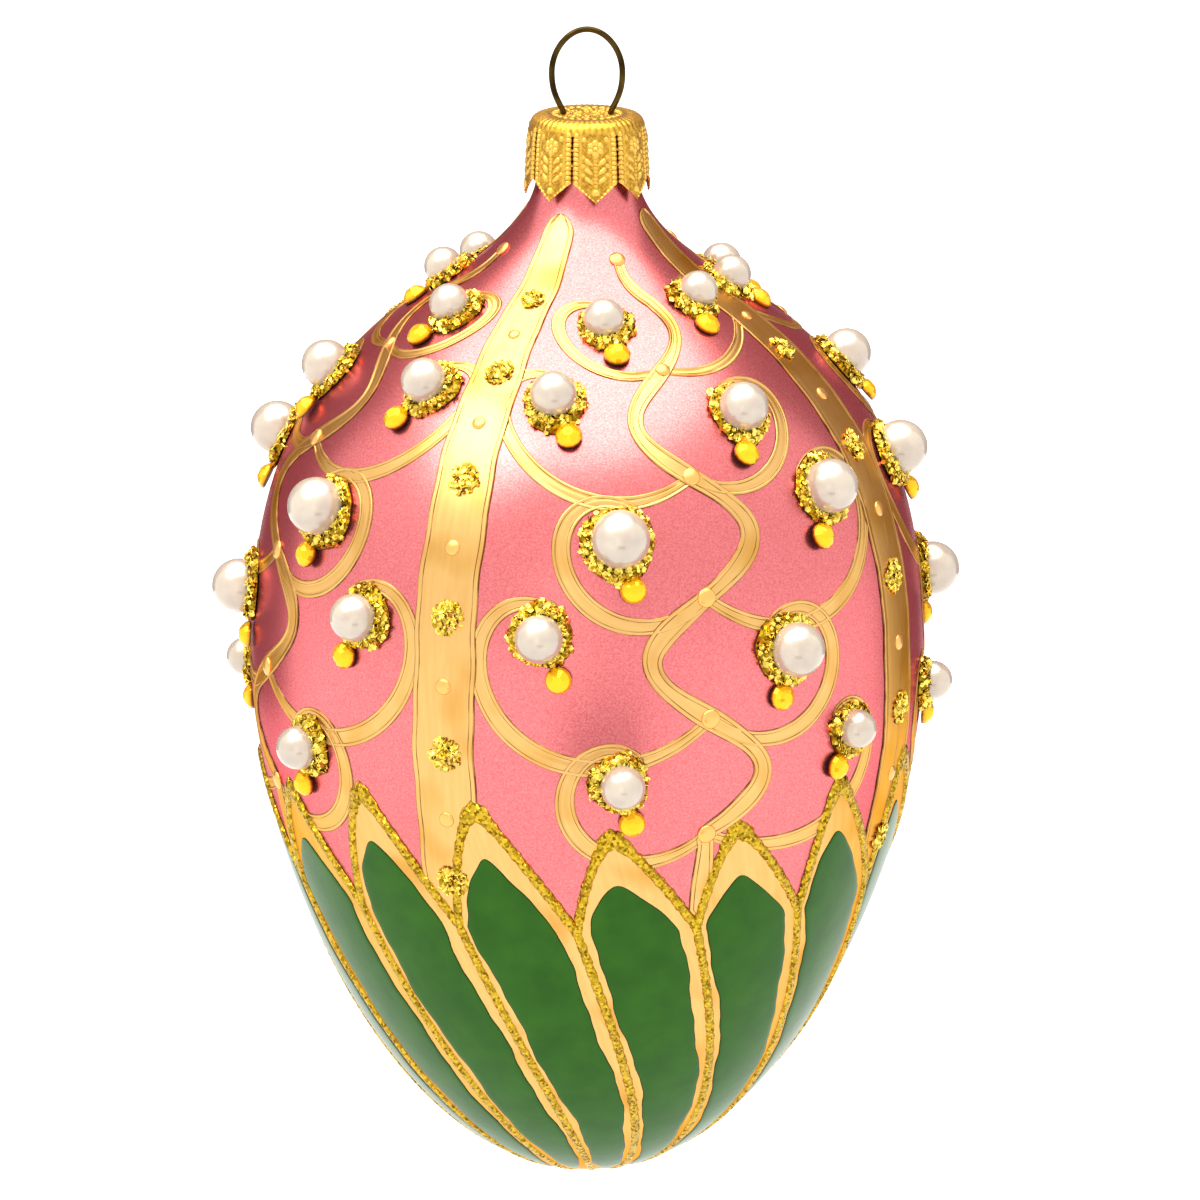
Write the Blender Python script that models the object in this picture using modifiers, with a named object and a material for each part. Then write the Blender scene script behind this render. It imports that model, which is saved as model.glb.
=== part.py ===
"""A blown-glass egg ornament with a metal crown cap, a wire hanger and forty glued pearl jewels.

All sizes are in metres. The origin is the top of the hanger's opening, where a hook bears, and the
egg hangs below it. +Z is up and -Y faces the viewer. Heights named "height" are measured from the
egg's widest circle, the belly, and become Z by adding BELLY_Z.
"""

import math

import bmesh
import bpy
import numpy as np
from mathutils import Matrix, Vector

# The glass egg.
BELLY_RADIUS = 0.0400
POLE_DEPTH = 0.0630
POLE_HANDLE = 0.0236
BELLY_HANDLE_DOWN = 0.0221
BELLY_HANDLE_UP = 0.0194
SHOULDER_RADIUS = 0.0181
SHOULDER_HEIGHT = 0.0446
SHOULDER_SLOPE = math.radians(31.5)
SHOULDER_HANDLE_OUT = 0.0209
SHOULDER_HANDLE_IN = 0.0115
NECK_RADIUS = 0.0061
NECK_BASE_HEIGHT = 0.0586
NECK_HANDLE = 0.0032
NECK_TOP_HEIGHT = 0.0636
GLASS_THICKNESS = 0.0010
EGG_SIDES = 40
OUTER_POINTS_PER_ARC = (9, 8, 7)
INNER_POINTS_PER_ARC = (6, 5, 5)

# The crown cap.
CAP_WALL = 0.00035
CAP_TOP_HEIGHT = 0.0652
CAP_FLAT_RADIUS = 0.0056
CAP_SHOULDER_RADIUS = 0.00675
CAP_SHOULDER_DROP = 0.0010
CAP_HEM_RADIUS = 0.0071
CAP_PETALS = 8
CAP_SIDES_PER_PETAL = 6
PETAL_VALLEY_HEIGHT = 0.0584
PETAL_TIP_DROP = 0.0025
PETAL_TIP_FLARE = 0.0002
PETAL_TIP_AZIMUTH = math.radians(8.0)
LEG_HOLE_RADIUS = 0.00075

# The wire hanger.
WIRE_RADIUS = 0.00035
LOOP_HALF_WIDTH = 0.0041
LOOP_WIDEST_HEIGHT = 0.0700
LOOP_TOP_HEIGHT = 0.0751
LEG_HOLE_X = 0.0027
LEG_FOOT_X = 0.0044
LEG_FOOT_HEIGHT = 0.0510

# The panels between the four painted bands.
PANELS = 4
FIRST_BAND_AZIMUTH = math.radians(-24.4)
BAND_HALF_ANGLE = math.radians(5.6)

# The jewels: a pearl in a collar of glitter glue, with a small stone below it.
VINE_FIRST_BAY = -0.0045
VINE_BAY_STEP = 0.0140
INNER_PEARLS = (0.0052, 0.0064, 0.0068, 0.0058, 0.0048)
OUTER_PEARLS = (0.0046, 0.0056, 0.0064, 0.0054, 0.0046)
INNER_REACH = 0.38
OUTER_REACH = 0.72
OUTER_LIFT = 0.0030
INNER_STONE_SWING = math.radians(14.0)
OUTER_STONE_SWING = math.radians(-24.0)
PEARL_RISE = 0.50
COLLAR_WIDTH = 0.0012
COLLAR_HEIGHT = 0.0010
STONE_RADIUS = 0.00155
STONE_TABLE_RADIUS = 0.0011
STONE_HEIGHT = 0.0013
STONE_TO_COLLAR = 0.0003
JEWEL_SIDES = 10
PEARL_RINGS = 4
STONE_SIDES = 8
GLUE_GAP = 0.0003

# The origin is the underside of the wire at the top of the loop.
BELLY_Z = -(LOOP_TOP_HEIGHT - WIRE_RADIUS)

PINK_LACQUER = ("pink_lacquer", (0.86, 0.27, 0.29), 0.40, 0.35)
GOLD_METAL = ("gold_metal", (0.90, 0.62, 0.14), 0.30, 1.0)
BRASS_WIRE = ("brass_wire", (0.62, 0.46, 0.18), 0.28, 1.0)
PEARL = ("pearl", (0.90, 0.85, 0.81), 0.18, 0.0)
GOLD_GLITTER = ("gold_glitter", (0.62, 0.46, 0.06), 0.35, 1.0)
AMBER = ("amber", (0.95, 0.55, 0.02), 0.08, 0.0)


def clear_scene():
    for obj in list(bpy.data.objects):
        bpy.data.objects.remove(obj, do_unlink=True)


def make_collection(name, hidden=False):
    collection = bpy.data.collections.new(name)
    collection.hide_render = hidden
    bpy.context.scene.collection.children.link(collection)
    return collection


def material(spec):
    """A Principled material from (name, colour, roughness, metallic), made once."""
    name, colour, roughness, metallic = spec
    found = bpy.data.materials.get(name)
    if found:
        return found
    made = bpy.data.materials.new(name)
    made.use_nodes = True
    shader = made.node_tree.nodes["Principled BSDF"]
    shader.inputs["Base Color"].default_value = (*colour, 1.0)
    shader.inputs["Roughness"].default_value = roughness
    shader.inputs["Metallic"].default_value = metallic
    return made


def add_object(name, data, collection, *materials):
    obj = bpy.data.objects.new(name, data)
    collection.objects.link(obj)
    for spec in materials:
        obj.data.materials.append(material(spec))
    return obj


def smooth(mesh, sharp_angle):
    mesh.shade_smooth()
    mesh.set_sharp_from_angle(angle=math.radians(sharp_angle))


def as_mesh(obj):
    """Replaces the object by one that holds its evaluated mesh, in the same place."""
    graph = bpy.context.evaluated_depsgraph_get()
    baked = bpy.data.meshes.new_from_object(obj.evaluated_get(graph))
    twin = bpy.data.objects.new(obj.name + "_mesh", baked)
    twin.matrix_world = obj.matrix_world
    for collection in obj.users_collection:
        collection.objects.link(twin)
    name = obj.name
    bpy.data.objects.remove(obj, do_unlink=True)
    twin.name = name
    return twin


# Curves and profiles.


def bezier(start, start_handle, end_handle, end, count):
    """count points on a cubic Bezier arc, both ends included."""
    t = np.linspace(0.0, 1.0, count)[:, None]
    weights = ((1 - t) ** 3, 3 * (1 - t) ** 2 * t, 3 * (1 - t) * t**2, t**3)
    corners = (start, start_handle, end_handle, end)
    return sum(weight * np.array(corner) for weight, corner in zip(weights, corners))


def egg_profile(counts):
    """(radius, height) down the outer skin, from the neck's foot to the pole, in three arcs."""
    slope = np.array([math.cos(SHOULDER_SLOPE), -math.sin(SHOULDER_SLOPE)])
    neck = np.array([NECK_RADIUS, NECK_BASE_HEIGHT])
    shoulder = np.array([SHOULDER_RADIUS, SHOULDER_HEIGHT])
    belly = np.array([BELLY_RADIUS, 0.0])
    pole = np.array([0.0, -POLE_DEPTH])
    down = np.array([0.0, -1.0])
    out = np.array([1.0, 0.0])
    lower_count, upper_count, neck_count = counts
    neck_arc = bezier(
        neck, neck + down * NECK_HANDLE, shoulder - slope * SHOULDER_HANDLE_IN, shoulder, neck_count
    )
    upper_arc = bezier(
        shoulder, shoulder + slope * SHOULDER_HANDLE_OUT, belly - down * BELLY_HANDLE_UP, belly, upper_count
    )
    lower_arc = bezier(
        belly, belly + down * BELLY_HANDLE_DOWN, pole + out * POLE_HANDLE, pole, lower_count
    )
    return np.vstack([neck_arc, upper_arc[1:], lower_arc[1:]])


def inset_profile(profile, thickness):
    """The profile moved inwards, square to itself, by the wall's thickness."""
    along = np.gradient(profile, axis=0)
    along /= np.linalg.norm(along, axis=1)[:, None]
    inwards = np.column_stack([along[:, 1], -along[:, 0]])
    moved = profile + inwards * thickness
    moved[-1, 0] = 0.0
    return moved


class EggSurface:
    """Places on the outer skin, by distance along the meridian from the belly, upwards."""

    def __init__(self):
        profile = egg_profile((200, 200, 80))[::-1]
        steps = np.linalg.norm(np.diff(profile, axis=0), axis=1)
        along = np.concatenate([[0.0], np.cumsum(steps)])
        self.along = along - np.interp(0.0, profile[:, 1], along)
        self.radii = profile[:, 0]
        self.heights = profile[:, 1]

    def radius(self, along):
        return float(np.interp(along, self.along, self.radii))

    def height(self, along):
        return float(np.interp(along, self.along, self.heights))

    def frame(self, azimuth, along):
        """(point, right, up, normal) at an azimuth measured from -Y towards +X."""
        step = 0.0002
        rise = self.height(along + step) - self.height(along - step)
        spread = self.radius(along + step) - self.radius(along - step)
        outwards = Vector((math.sin(azimuth), -math.cos(azimuth), 0.0))
        right = Vector((math.cos(azimuth), math.sin(azimuth), 0.0))
        up = (outwards * spread + Vector((0.0, 0.0, rise))).normalized()
        point = outwards * self.radius(along) + Vector((0.0, 0.0, BELLY_Z + self.height(along)))
        return point, right, up, right.cross(up)


def turned(name, profile, sides, collection, spec):
    """A closed (radius, height) profile, swept once round the Z axis with a Screw modifier."""
    mesh = bpy.data.meshes.new(name)
    points = [(radius, 0.0, BELLY_Z + height) for radius, height in profile]
    mesh.from_pydata(points, [(i, i + 1) for i in range(len(points) - 1)], [])
    obj = add_object(name, mesh, collection, spec)
    screw = obj.modifiers.new("turn", "SCREW")
    screw.steps = screw.render_steps = sides
    screw.use_merge_vertices = True
    screw.merge_threshold = 0.00001
    return obj


# The pieces.


def build_glass_egg(collection):
    """One hollow blown shell, open at the top of its neck."""
    outer = egg_profile(OUTER_POINTS_PER_ARC)
    inner = inset_profile(egg_profile(INNER_POINTS_PER_ARC), GLASS_THICKNESS)[::-1]
    lip = [(NECK_RADIUS - GLASS_THICKNESS, NECK_TOP_HEIGHT), (NECK_RADIUS, NECK_TOP_HEIGHT)]
    profile = [*inner, *lip, *outer]
    egg = as_mesh(turned("glass_egg", profile, EGG_SIDES, collection, PINK_LACQUER))
    smooth(egg.data, 40)
    return egg


def cap_profile():
    """The cap's thin cup, from the middle of its top down the outside and back up the inside."""
    top = CAP_TOP_HEIGHT
    outside = [
        (0.0, top),
        (CAP_FLAT_RADIUS, top),
        (CAP_FLAT_RADIUS + 0.0008, top - CAP_SHOULDER_DROP * 0.35),
        (CAP_SHOULDER_RADIUS, top - CAP_SHOULDER_DROP),
        (CAP_HEM_RADIUS, PETAL_VALLEY_HEIGHT),
    ]
    inside = [
        (CAP_HEM_RADIUS - CAP_WALL, PETAL_VALLEY_HEIGHT),
        (CAP_SHOULDER_RADIUS - CAP_WALL, top - CAP_SHOULDER_DROP),
        (CAP_FLAT_RADIUS, top - CAP_WALL),
        (0.0, top - CAP_WALL),
    ]
    return outside + inside


def pull_petals(mesh):
    """Draws the hem down into one pointed petal for each eighth of the turn."""
    hem_z = BELLY_Z + PETAL_VALLEY_HEIGHT
    for vertex in mesh.vertices:
        if abs(vertex.co.z - hem_z) > 0.00001:
            continue
        radius = math.hypot(vertex.co.x, vertex.co.y)
        turn = math.atan2(vertex.co.y, vertex.co.x) / math.tau * CAP_PETALS
        nearness_to_tip = 1.0 - 2.0 * abs(turn - round(turn))
        flare = 1.0 + PETAL_TIP_FLARE * nearness_to_tip / radius
        vertex.co.x *= flare
        vertex.co.y *= flare
        vertex.co.z -= PETAL_TIP_DROP * nearness_to_tip


def build_cap(collection, cutters):
    """The thin metal crown cap, with eight petals and two holes for the hanger's legs."""
    sides = CAP_PETALS * CAP_SIDES_PER_PETAL
    cap = as_mesh(turned("metal_cap", cap_profile(), sides, collection, GOLD_METAL))
    pull_petals(cap.data)
    cap.rotation_euler.z = PETAL_TIP_AZIMUTH
    smooth(cap.data, 30)
    for side in (-1, 1):
        bpy.ops.mesh.primitive_cylinder_add(
            vertices=12,
            radius=LEG_HOLE_RADIUS,
            depth=0.004,
            location=(side * LEG_HOLE_X, 0.0, BELLY_Z + CAP_TOP_HEIGHT),
        )
        cutter = bpy.context.object
        cutter.name = f"leg_hole_cutter_{'left' if side < 0 else 'right'}"
        cutter.hide_render = True
        cutter.display_type = "WIRE"
        for owner in list(cutter.users_collection):
            owner.objects.unlink(cutter)
        cutters.objects.link(cutter)
        hole = cap.modifiers.new(cutter.name, "BOOLEAN")
        hole.operation = "DIFFERENCE"
        hole.object = cutter
    return cap


def hanger_controls():
    """(x, height, handle x, handle height) up the left leg, over the loop and down the right leg."""
    left = [
        (-LEG_FOOT_X, LEG_FOOT_HEIGHT, 0.0, 0.0040),
        (-LEG_HOLE_X, CAP_TOP_HEIGHT, -0.0004, 0.0012),
        (-LOOP_HALF_WIDTH, LOOP_WIDEST_HEIGHT, 0.0, 0.0027),
    ]
    top = [(0.0, LOOP_TOP_HEIGHT, 0.0022, 0.0)]
    right = [(-x, height, handle_x, -handle_z) for x, height, handle_x, handle_z in left[::-1]]
    return left + top + right


def build_hanger(collection):
    """A brass wire: a loop above the cap, and two sprung legs that spread inside the neck."""
    curve = bpy.data.curves.new("hanger_wire", "CURVE")
    curve.dimensions = "3D"
    curve.bevel_depth = WIRE_RADIUS
    curve.bevel_resolution = 2
    curve.resolution_u = 7
    curve.use_fill_caps = True
    controls = hanger_controls()
    spline = curve.splines.new("BEZIER")
    spline.bezier_points.add(len(controls) - 1)
    for point, (x, height, handle_x, handle_z) in zip(spline.bezier_points, controls):
        place = Vector((x, 0.0, BELLY_Z + height))
        handle = Vector((handle_x, 0.0, handle_z))
        point.co = place
        point.handle_left_type = point.handle_right_type = "FREE"
        point.handle_left = place - handle
        point.handle_right = place + handle
    return add_object("hanger_wire", curve, collection, BRASS_WIRE)


def lathe_mesh(name, profile, sides):
    """A mesh turned from an open (radius, height) profile whose two ends lie on the axis."""
    shape = bmesh.new()
    ring = [shape.verts.new((radius, 0.0, height)) for radius, height in profile]
    edges = [shape.edges.new(pair) for pair in zip(ring, ring[1:])]
    bmesh.ops.spin(
        shape, geom=ring + edges, axis=(0, 0, 1), cent=(0, 0, 0), steps=sides, angle=math.tau
    )
    bmesh.ops.remove_doubles(shape, verts=shape.verts, dist=0.00001)
    bmesh.ops.recalc_face_normals(shape, faces=shape.faces)
    mesh = bpy.data.meshes.new(name)
    shape.to_mesh(mesh)
    shape.free()
    return mesh


def pearl_in_collar(name, diameter):
    """A flat-backed pearl standing in its ring of glitter glue, on the plane z = 0."""
    radius = diameter / 2
    centre = radius * PEARL_RISE
    collar_radius = radius + COLLAR_WIDTH
    touch = math.asin((COLLAR_HEIGHT - centre) / radius)
    angles = np.linspace(math.pi / 2, touch, PEARL_RINGS)
    dome = [(radius * math.cos(a), centre + radius * math.sin(a)) for a in angles]
    dome[0] = (0.0, dome[0][1])
    collar = [(collar_radius - 0.0003, COLLAR_HEIGHT * 0.8), (collar_radius, 0.0), (0.0, 0.0)]
    mesh = lathe_mesh(name, dome + collar, JEWEL_SIDES)
    for spec in (PEARL, GOLD_GLITTER, AMBER):
        mesh.materials.append(material(spec))
    for face in mesh.polygons:
        face.material_index = 1 if face.center.z < COLLAR_HEIGHT * 0.95 else 0
    return mesh


def stone_mesh(name):
    """A small flat-backed stone with a table, on the plane z = 0."""
    shape = bmesh.new()
    bmesh.ops.create_cone(
        shape,
        cap_ends=True,
        segments=STONE_SIDES,
        radius1=STONE_RADIUS,
        radius2=STONE_TABLE_RADIUS,
        depth=STONE_HEIGHT,
        matrix=Matrix.Translation((0.0, 0.0, STONE_HEIGHT / 2)),
    )
    mesh = bpy.data.meshes.new(name)
    shape.to_mesh(mesh)
    shape.free()
    for spec in (PEARL, GOLD_GLITTER, AMBER):
        mesh.materials.append(material(spec))
    for face in mesh.polygons:
        face.material_index = 2
    return mesh


def jewel_mesh(diameter, collection, cutters):
    """The pearl, its collar and its stone, joined where the glue holds them together."""
    key = f"{diameter * 1000:.1f}mm"
    pearl = bpy.data.objects.new(f"pearl_{key}", pearl_in_collar(f"pearl_{key}", diameter))
    collection.objects.link(pearl)
    stone = bpy.data.objects.new(f"stone_{key}", stone_mesh(f"stone_{key}"))
    stone.location.y = -(diameter / 2 + COLLAR_WIDTH + STONE_RADIUS - STONE_TO_COLLAR)
    stone.hide_render = True
    stone.display_type = "WIRE"
    cutters.objects.link(stone)
    glue = pearl.modifiers.new("glue", "BOOLEAN")
    glue.operation = "UNION"
    glue.object = stone
    glue.material_mode = "TRANSFER"
    joined = as_mesh(pearl)
    mesh = joined.data
    mesh.name = f"jewel_{key}"
    smooth(mesh, 50)
    bpy.data.objects.remove(joined, do_unlink=True)
    return mesh


def panel_centre(panel):
    return FIRST_BAND_AZIMUTH + math.tau / PANELS * (panel + 0.5)


def panel_jewels(surface, panel):
    """(azimuth, distance up from the belly, diameter, stone swing) of the ten jewels in one panel.

    Each bay of the climbing vine holds one pearl inside its curve and one beyond its crest. The
    panels mirror each other in turn.
    """
    hand = 1 if panel % 2 == 0 else -1
    half_angle = math.pi / PANELS - BAND_HALF_ANGLE
    jewels = []
    for bay, (inner, outer) in enumerate(zip(INNER_PEARLS, OUTER_PEARLS)):
        along = VINE_FIRST_BAY + VINE_BAY_STEP * bay
        crest = hand if bay % 2 == 0 else -hand
        inner_azimuth = panel_centre(panel) - crest * INNER_REACH * half_angle
        outer_azimuth = panel_centre(panel) + crest * OUTER_REACH * half_angle
        jewels.append((inner_azimuth, along, inner, crest * INNER_STONE_SWING))
        jewels.append((outer_azimuth, along + OUTER_LIFT, outer, crest * OUTER_STONE_SWING))
    return jewels


def build_jewels(surface, collection, cutters):
    """Forty jewels, each its own object, standing square to the glass."""
    meshes = {}
    number = 0
    for panel in range(PANELS):
        for azimuth, along, diameter, swing in panel_jewels(surface, panel):
            number += 1
            if diameter not in meshes:
                meshes[diameter] = jewel_mesh(diameter, collection, cutters)
            point, right, up, normal = surface.frame(azimuth, along)
            turn = Matrix((right, up, normal)).transposed() @ Matrix.Rotation(swing, 3, "Z")
            jewel = bpy.data.objects.new(f"pearl_jewel_{number:02d}", meshes[diameter])
            jewel.location = point + normal * GLUE_GAP
            jewel.rotation_euler = turn.to_euler()
            collection.objects.link(jewel)


def main():
    clear_scene()
    ornament = make_collection("jewelled_egg")
    cutters = make_collection("cutters", hidden=True)
    surface = EggSurface()
    build_glass_egg(ornament)
    build_cap(ornament, cutters)
    build_hanger(ornament)
    build_jewels(surface, ornament, cutters)


main()
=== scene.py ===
# %% [markdown]
# # A jewelled glass egg
# The object is a Christmas ornament: a glass egg blown by mouth, silvered inside, sprayed with a pearly
# pink lacquer and then painted and jewelled by hand. It hangs from a brass wire in a stamped cap. This
# notebook dresses the imported model, piece by piece, with the fine surface that the plain solids leave out.

# %% Import the model
import math
import random

import bpy
import numpy as np
from mathutils import Matrix, Vector


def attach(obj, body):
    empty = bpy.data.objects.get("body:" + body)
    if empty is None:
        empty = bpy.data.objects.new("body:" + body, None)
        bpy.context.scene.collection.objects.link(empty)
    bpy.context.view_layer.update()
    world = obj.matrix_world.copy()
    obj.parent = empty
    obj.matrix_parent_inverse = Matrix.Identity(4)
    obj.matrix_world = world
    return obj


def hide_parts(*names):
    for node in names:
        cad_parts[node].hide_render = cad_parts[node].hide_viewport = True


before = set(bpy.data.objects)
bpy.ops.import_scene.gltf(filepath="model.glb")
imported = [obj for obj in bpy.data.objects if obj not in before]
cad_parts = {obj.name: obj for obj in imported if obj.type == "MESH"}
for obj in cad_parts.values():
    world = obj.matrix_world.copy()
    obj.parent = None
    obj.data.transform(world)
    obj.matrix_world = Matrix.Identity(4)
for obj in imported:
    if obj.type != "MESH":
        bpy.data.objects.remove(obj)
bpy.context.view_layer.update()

MM = 0.001

# %% [markdown]
# ## Helpers for colours, nodes and materials
# Paint charts give colours as sRGB hex, but the renderer adds up light, so a colour is turned to linear
# first. One small function adds any shader node with its settings and links, so that a material reads from
# top to bottom as the light meets it. Another starts a material with the values that are the same all over.

# %% Colours and nodes


def linear(hex_colour):
    """A linear RGBA colour from sRGB hex such as "FFD27F"."""
    channels = [int(hex_colour[i : i + 2], 16) / 255 for i in (0, 2, 4)]
    bent = [c / 12.92 if c <= 0.04045 else ((c + 0.055) / 1.055) ** 2.4 for c in channels]
    return (*bent, 1.0)


def set_inputs(node, inputs):
    """Sets inputs of a node. Each is a value, or the output socket that feeds it."""
    for name, value in inputs.items():
        if isinstance(value, bpy.types.NodeSocket):
            node.id_data.links.new(value, node.inputs[name])
        else:
            node.inputs[name].default_value = value


def add_node(tree, kind, output, inputs=None, stops=(), **settings):
    """Adds a shader node and returns one output of it. Stops are a ramp's (position, sRGB hex) pairs."""
    node = tree.nodes.new("ShaderNode" + kind)
    for name, value in settings.items():
        setattr(node, name, value)
    if stops:
        elements = node.color_ramp.elements
        while len(elements) < len(stops):
            elements.new(0.5)
        for element, (position, colour) in zip(elements, stops):
            element.position = position
            element.color = linear(colour)
    set_inputs(node, inputs or {})
    return node.outputs[output]


# %% Materials
MULTIPLY = {"data_type": "RGBA", "blend_type": "MULTIPLY"}


def new_material(name, **shader_values):
    """A material with its node tree and its Principled shader."""
    material = bpy.data.materials.new(name)
    material.use_nodes = True
    shader = material.node_tree.nodes["Principled BSDF"]
    for socket, value in shader_values.items():
        shader.inputs[socket.replace("_", " ")].default_value = value
    print("material", name)
    return material, material.node_tree, shader


# %% [markdown]
# ## Helpers for meshes and finished pieces
# Some steps come back often, so each has a short name here. The last helper signs a finished piece off: it
# names it, gives it its material and puts it on its body.

# %% Selecting and edit mode


def only(obj):
    """Makes obj the one selected and active object."""
    bpy.ops.object.select_all(action="DESELECT")
    obj.select_set(True)
    bpy.context.view_layer.objects.active = obj


def edit_mode(action="SELECT"):
    """Edit mode, with the whole mesh selected, or none of it after "DESELECT"."""
    bpy.ops.object.mode_set(mode="EDIT")
    bpy.ops.mesh.select_all(action=action)


def object_mode():
    bpy.ops.object.mode_set(mode="OBJECT")


# %% Welding, thickness and smooth shading


def weld(distance):
    """Merges vertices closer than this and turns the faces outwards."""
    edit_mode()
    bpy.ops.mesh.remove_doubles(threshold=distance)
    bpy.ops.mesh.normals_make_consistent(inside=False)
    object_mode()


def thicken(obj, thickness):
    """Gives a sheet its thickness in mm, inwards."""
    sheet = obj.modifiers.new("sheet", "SOLIDIFY")
    sheet.thickness = thickness * MM
    sheet.offset = -1.0
    only(obj)
    bpy.ops.object.modifier_apply(modifier="sheet")


def smooth(obj, degrees):
    """Smooth shading, except over edges sharper than this."""
    only(obj)
    bpy.ops.object.shade_smooth_by_angle(angle=math.radians(degrees))


# %% Signing off


def triangles(obj):
    return sum(len(face.vertices) - 2 for face in obj.data.polygons)


def sign_off(obj, name, material, slot, *nodes):
    """Names the finished piece, gives it its material, and lets it ride on the root body. slot is not used.
    """
    obj.name = obj.data.name = name
    obj.data.materials.append(material)
    only(obj)
    bpy.ops.object.transform_apply(location=True, rotation=True, scale=True)
    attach(obj, "root")
    if nodes:
        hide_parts(*nodes)
    print(name, triangles(obj), "triangles")


# %% [markdown]
# ## The camera
# The photograph looks about 15 degrees down on the egg through a long lens. The egg stands a little left of
# the picture's middle and below it, so the camera aims just up and right of the belly's centre.

# %% Camera
BELLY_Z = -0.07475
VIEW_ELEVATION = math.radians(15.0)
VIEW_DISTANCE = 0.9
PICTURE_WIDTH = 1200
PIXELS_PER_MM = 8.45
SENSOR_WIDTH = 36.0
AIM_RIGHT = 1.50 * MM
AIM_UP = 6.55 * MM

belly = Vector((0.0, 0.0, BELLY_Z))
back = Vector((0.0, -math.cos(VIEW_ELEVATION), math.sin(VIEW_ELEVATION)))
picture_up = Vector((0.0, math.sin(VIEW_ELEVATION), math.cos(VIEW_ELEVATION)))
bpy.ops.object.camera_add(location=belly + back * VIEW_DISTANCE)
camera = bpy.context.object
camera.name = "camera"
camera.data.sensor_width = SENSOR_WIDTH
camera.data.lens = SENSOR_WIDTH * VIEW_DISTANCE / (PICTURE_WIDTH / PIXELS_PER_MM * MM)
aim = belly + picture_up * AIM_UP + Vector((AIM_RIGHT, 0.0, 0.0))
camera.rotation_euler = (aim - camera.location).to_track_quat("-Z", "Y").to_euler()
camera.data.clip_start = 0.01
bpy.context.scene.camera = camera
print("lens", round(camera.data.lens, 1), "mm")

# %% [markdown]
# ## The studio
# A silvered egg shows its surroundings, so the studio is part of its look. It hangs in a white tent over a
# white sheet lit from below, which gives the even pink of the front. A wide softbox overhead and a smaller
# one at the upper left draw the pale glow on the shoulder, and a soft light beside the camera adds a faint
# streak. Dark cards behind the egg give it deep edges, so that it doesn't fade into the white. They and a
# small dark screen below the camera show in reflections alone.

# %% Floor and tent
scene = bpy.context.scene
scene.view_settings.view_transform = "Standard"

bpy.ops.mesh.primitive_plane_add(size=8.0, location=(0.0, 0.0, -0.30))
floor = bpy.context.object
floor.name = "studio_floor"
lit_sheet, _, _ = new_material(
    "lit_white_sheet",
    Base_Color=linear("595959"),
    Roughness=1.0,
    Specular_IOR_Level=0.0,
    Emission_Color=(1.0, 1.0, 1.0, 1.0),
    Emission_Strength=1.40,
)
floor.data.materials.append(lit_sheet)

world = bpy.data.worlds.new("white_tent")
scene.world = world
world.use_nodes = True
tent = world.node_tree.nodes["Background"]
set_inputs(tent, {"Color": (1.0, 1.0, 1.0, 1.0), "Strength": 1.3})

# %% Softboxes


def face_belly(obj, name, azimuth, elevation, distance, front):
    """Puts obj this far from the belly, facing it. Angles in degrees, azimuth 0 is the camera's side."""
    az = math.radians(azimuth)
    el = math.radians(elevation)
    away = Vector((math.sin(az) * math.cos(el), -math.cos(az) * math.cos(el), math.sin(el)))
    obj.name = name
    obj.location = belly + away * distance
    obj.rotation_euler = (-away).to_track_quat(front, "Y").to_euler()


def softbox(name, azimuth, elevation, distance, width, height, brightness):
    """An oval light, a little warmer than the tent."""
    bpy.ops.object.light_add(type="AREA")
    box = bpy.context.object
    face_belly(box, name, azimuth, elevation, distance, "-Z")
    box.data.shape = "ELLIPSE"
    box.data.color = linear("FFF8E8")[:3]
    box.data.size = width
    box.data.size_y = height
    box.data.energy = brightness * math.pi * math.pi * width * height / 4


softbox("overhead_softbox", -90, 85, 1.2, 1.88, 1.88, 3.85)
softbox("window_streak", -8, 6, 1.1, 0.42, 0.62, 0.45)
softbox("upper_left_softbox", -57, 48, 1.1, 0.74, 0.50, 3.4)

# %% Dark cards
dark_paper, _, _ = new_material("dark_paper", Base_Color=linear("78666B"), Roughness=1.0)


def dark_card(name, azimuth, elevation, distance, width, height):
    """A dark card that shows in reflections alone."""
    bpy.ops.mesh.primitive_plane_add(size=1.0)
    card = bpy.context.object
    face_belly(card, name, azimuth, elevation, distance, "Z")
    card.scale = (width, height, 1.0)
    card.data.materials.append(dark_paper)
    card.visible_camera = card.visible_diffuse = card.visible_shadow = False
    return card


left_card = dark_card("left_card", -140, 13, 0.5, 0.42, 0.58)
right_card = dark_card("right_card", 139, 20, 0.5, 0.46, 0.76)
back_card = dark_card("back_card", 180, 15, 0.46, 0.30, 0.64)
camera_screen = dark_card("camera_screen", 5, -21, 0.6, 0.28, 0.22)

# %% [markdown]
# ## The egg's shape as numbers
# Everything painted or glued on the egg follows its surface, so this step writes down the outline once:
# three Bezier arcs from the pole to the neck, as on a glassblower's drawing. They give a table of radius and
# height against the distance along the outline, and a function that turns "this far round, this far up, this
# far off the glass" into a point.

# %% The outline as points and handles
POLE = (0.0, -63.0)
POLE_HANDLE = 23.6
BELLY_RADIUS = 40.0
BELLY_HANDLES = (22.1, 19.4)
SHOULDER = (18.1, 44.6)
SHOULDER_SLOPE = math.radians(31.5)
SHOULDER_HANDLES = (20.9, 11.5)
NECK = (6.1, 58.6)
NECK_HANDLE = 3.2
NECK_TOP = 63.6
RIM_HANDLE = 1.5
PAINT_ALLOWANCE = 0.25

slope = np.array([math.cos(SHOULDER_SLOPE), -math.sin(SHOULDER_SLOPE)])
neck_rim = (NECK[0], NECK_TOP)
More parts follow.
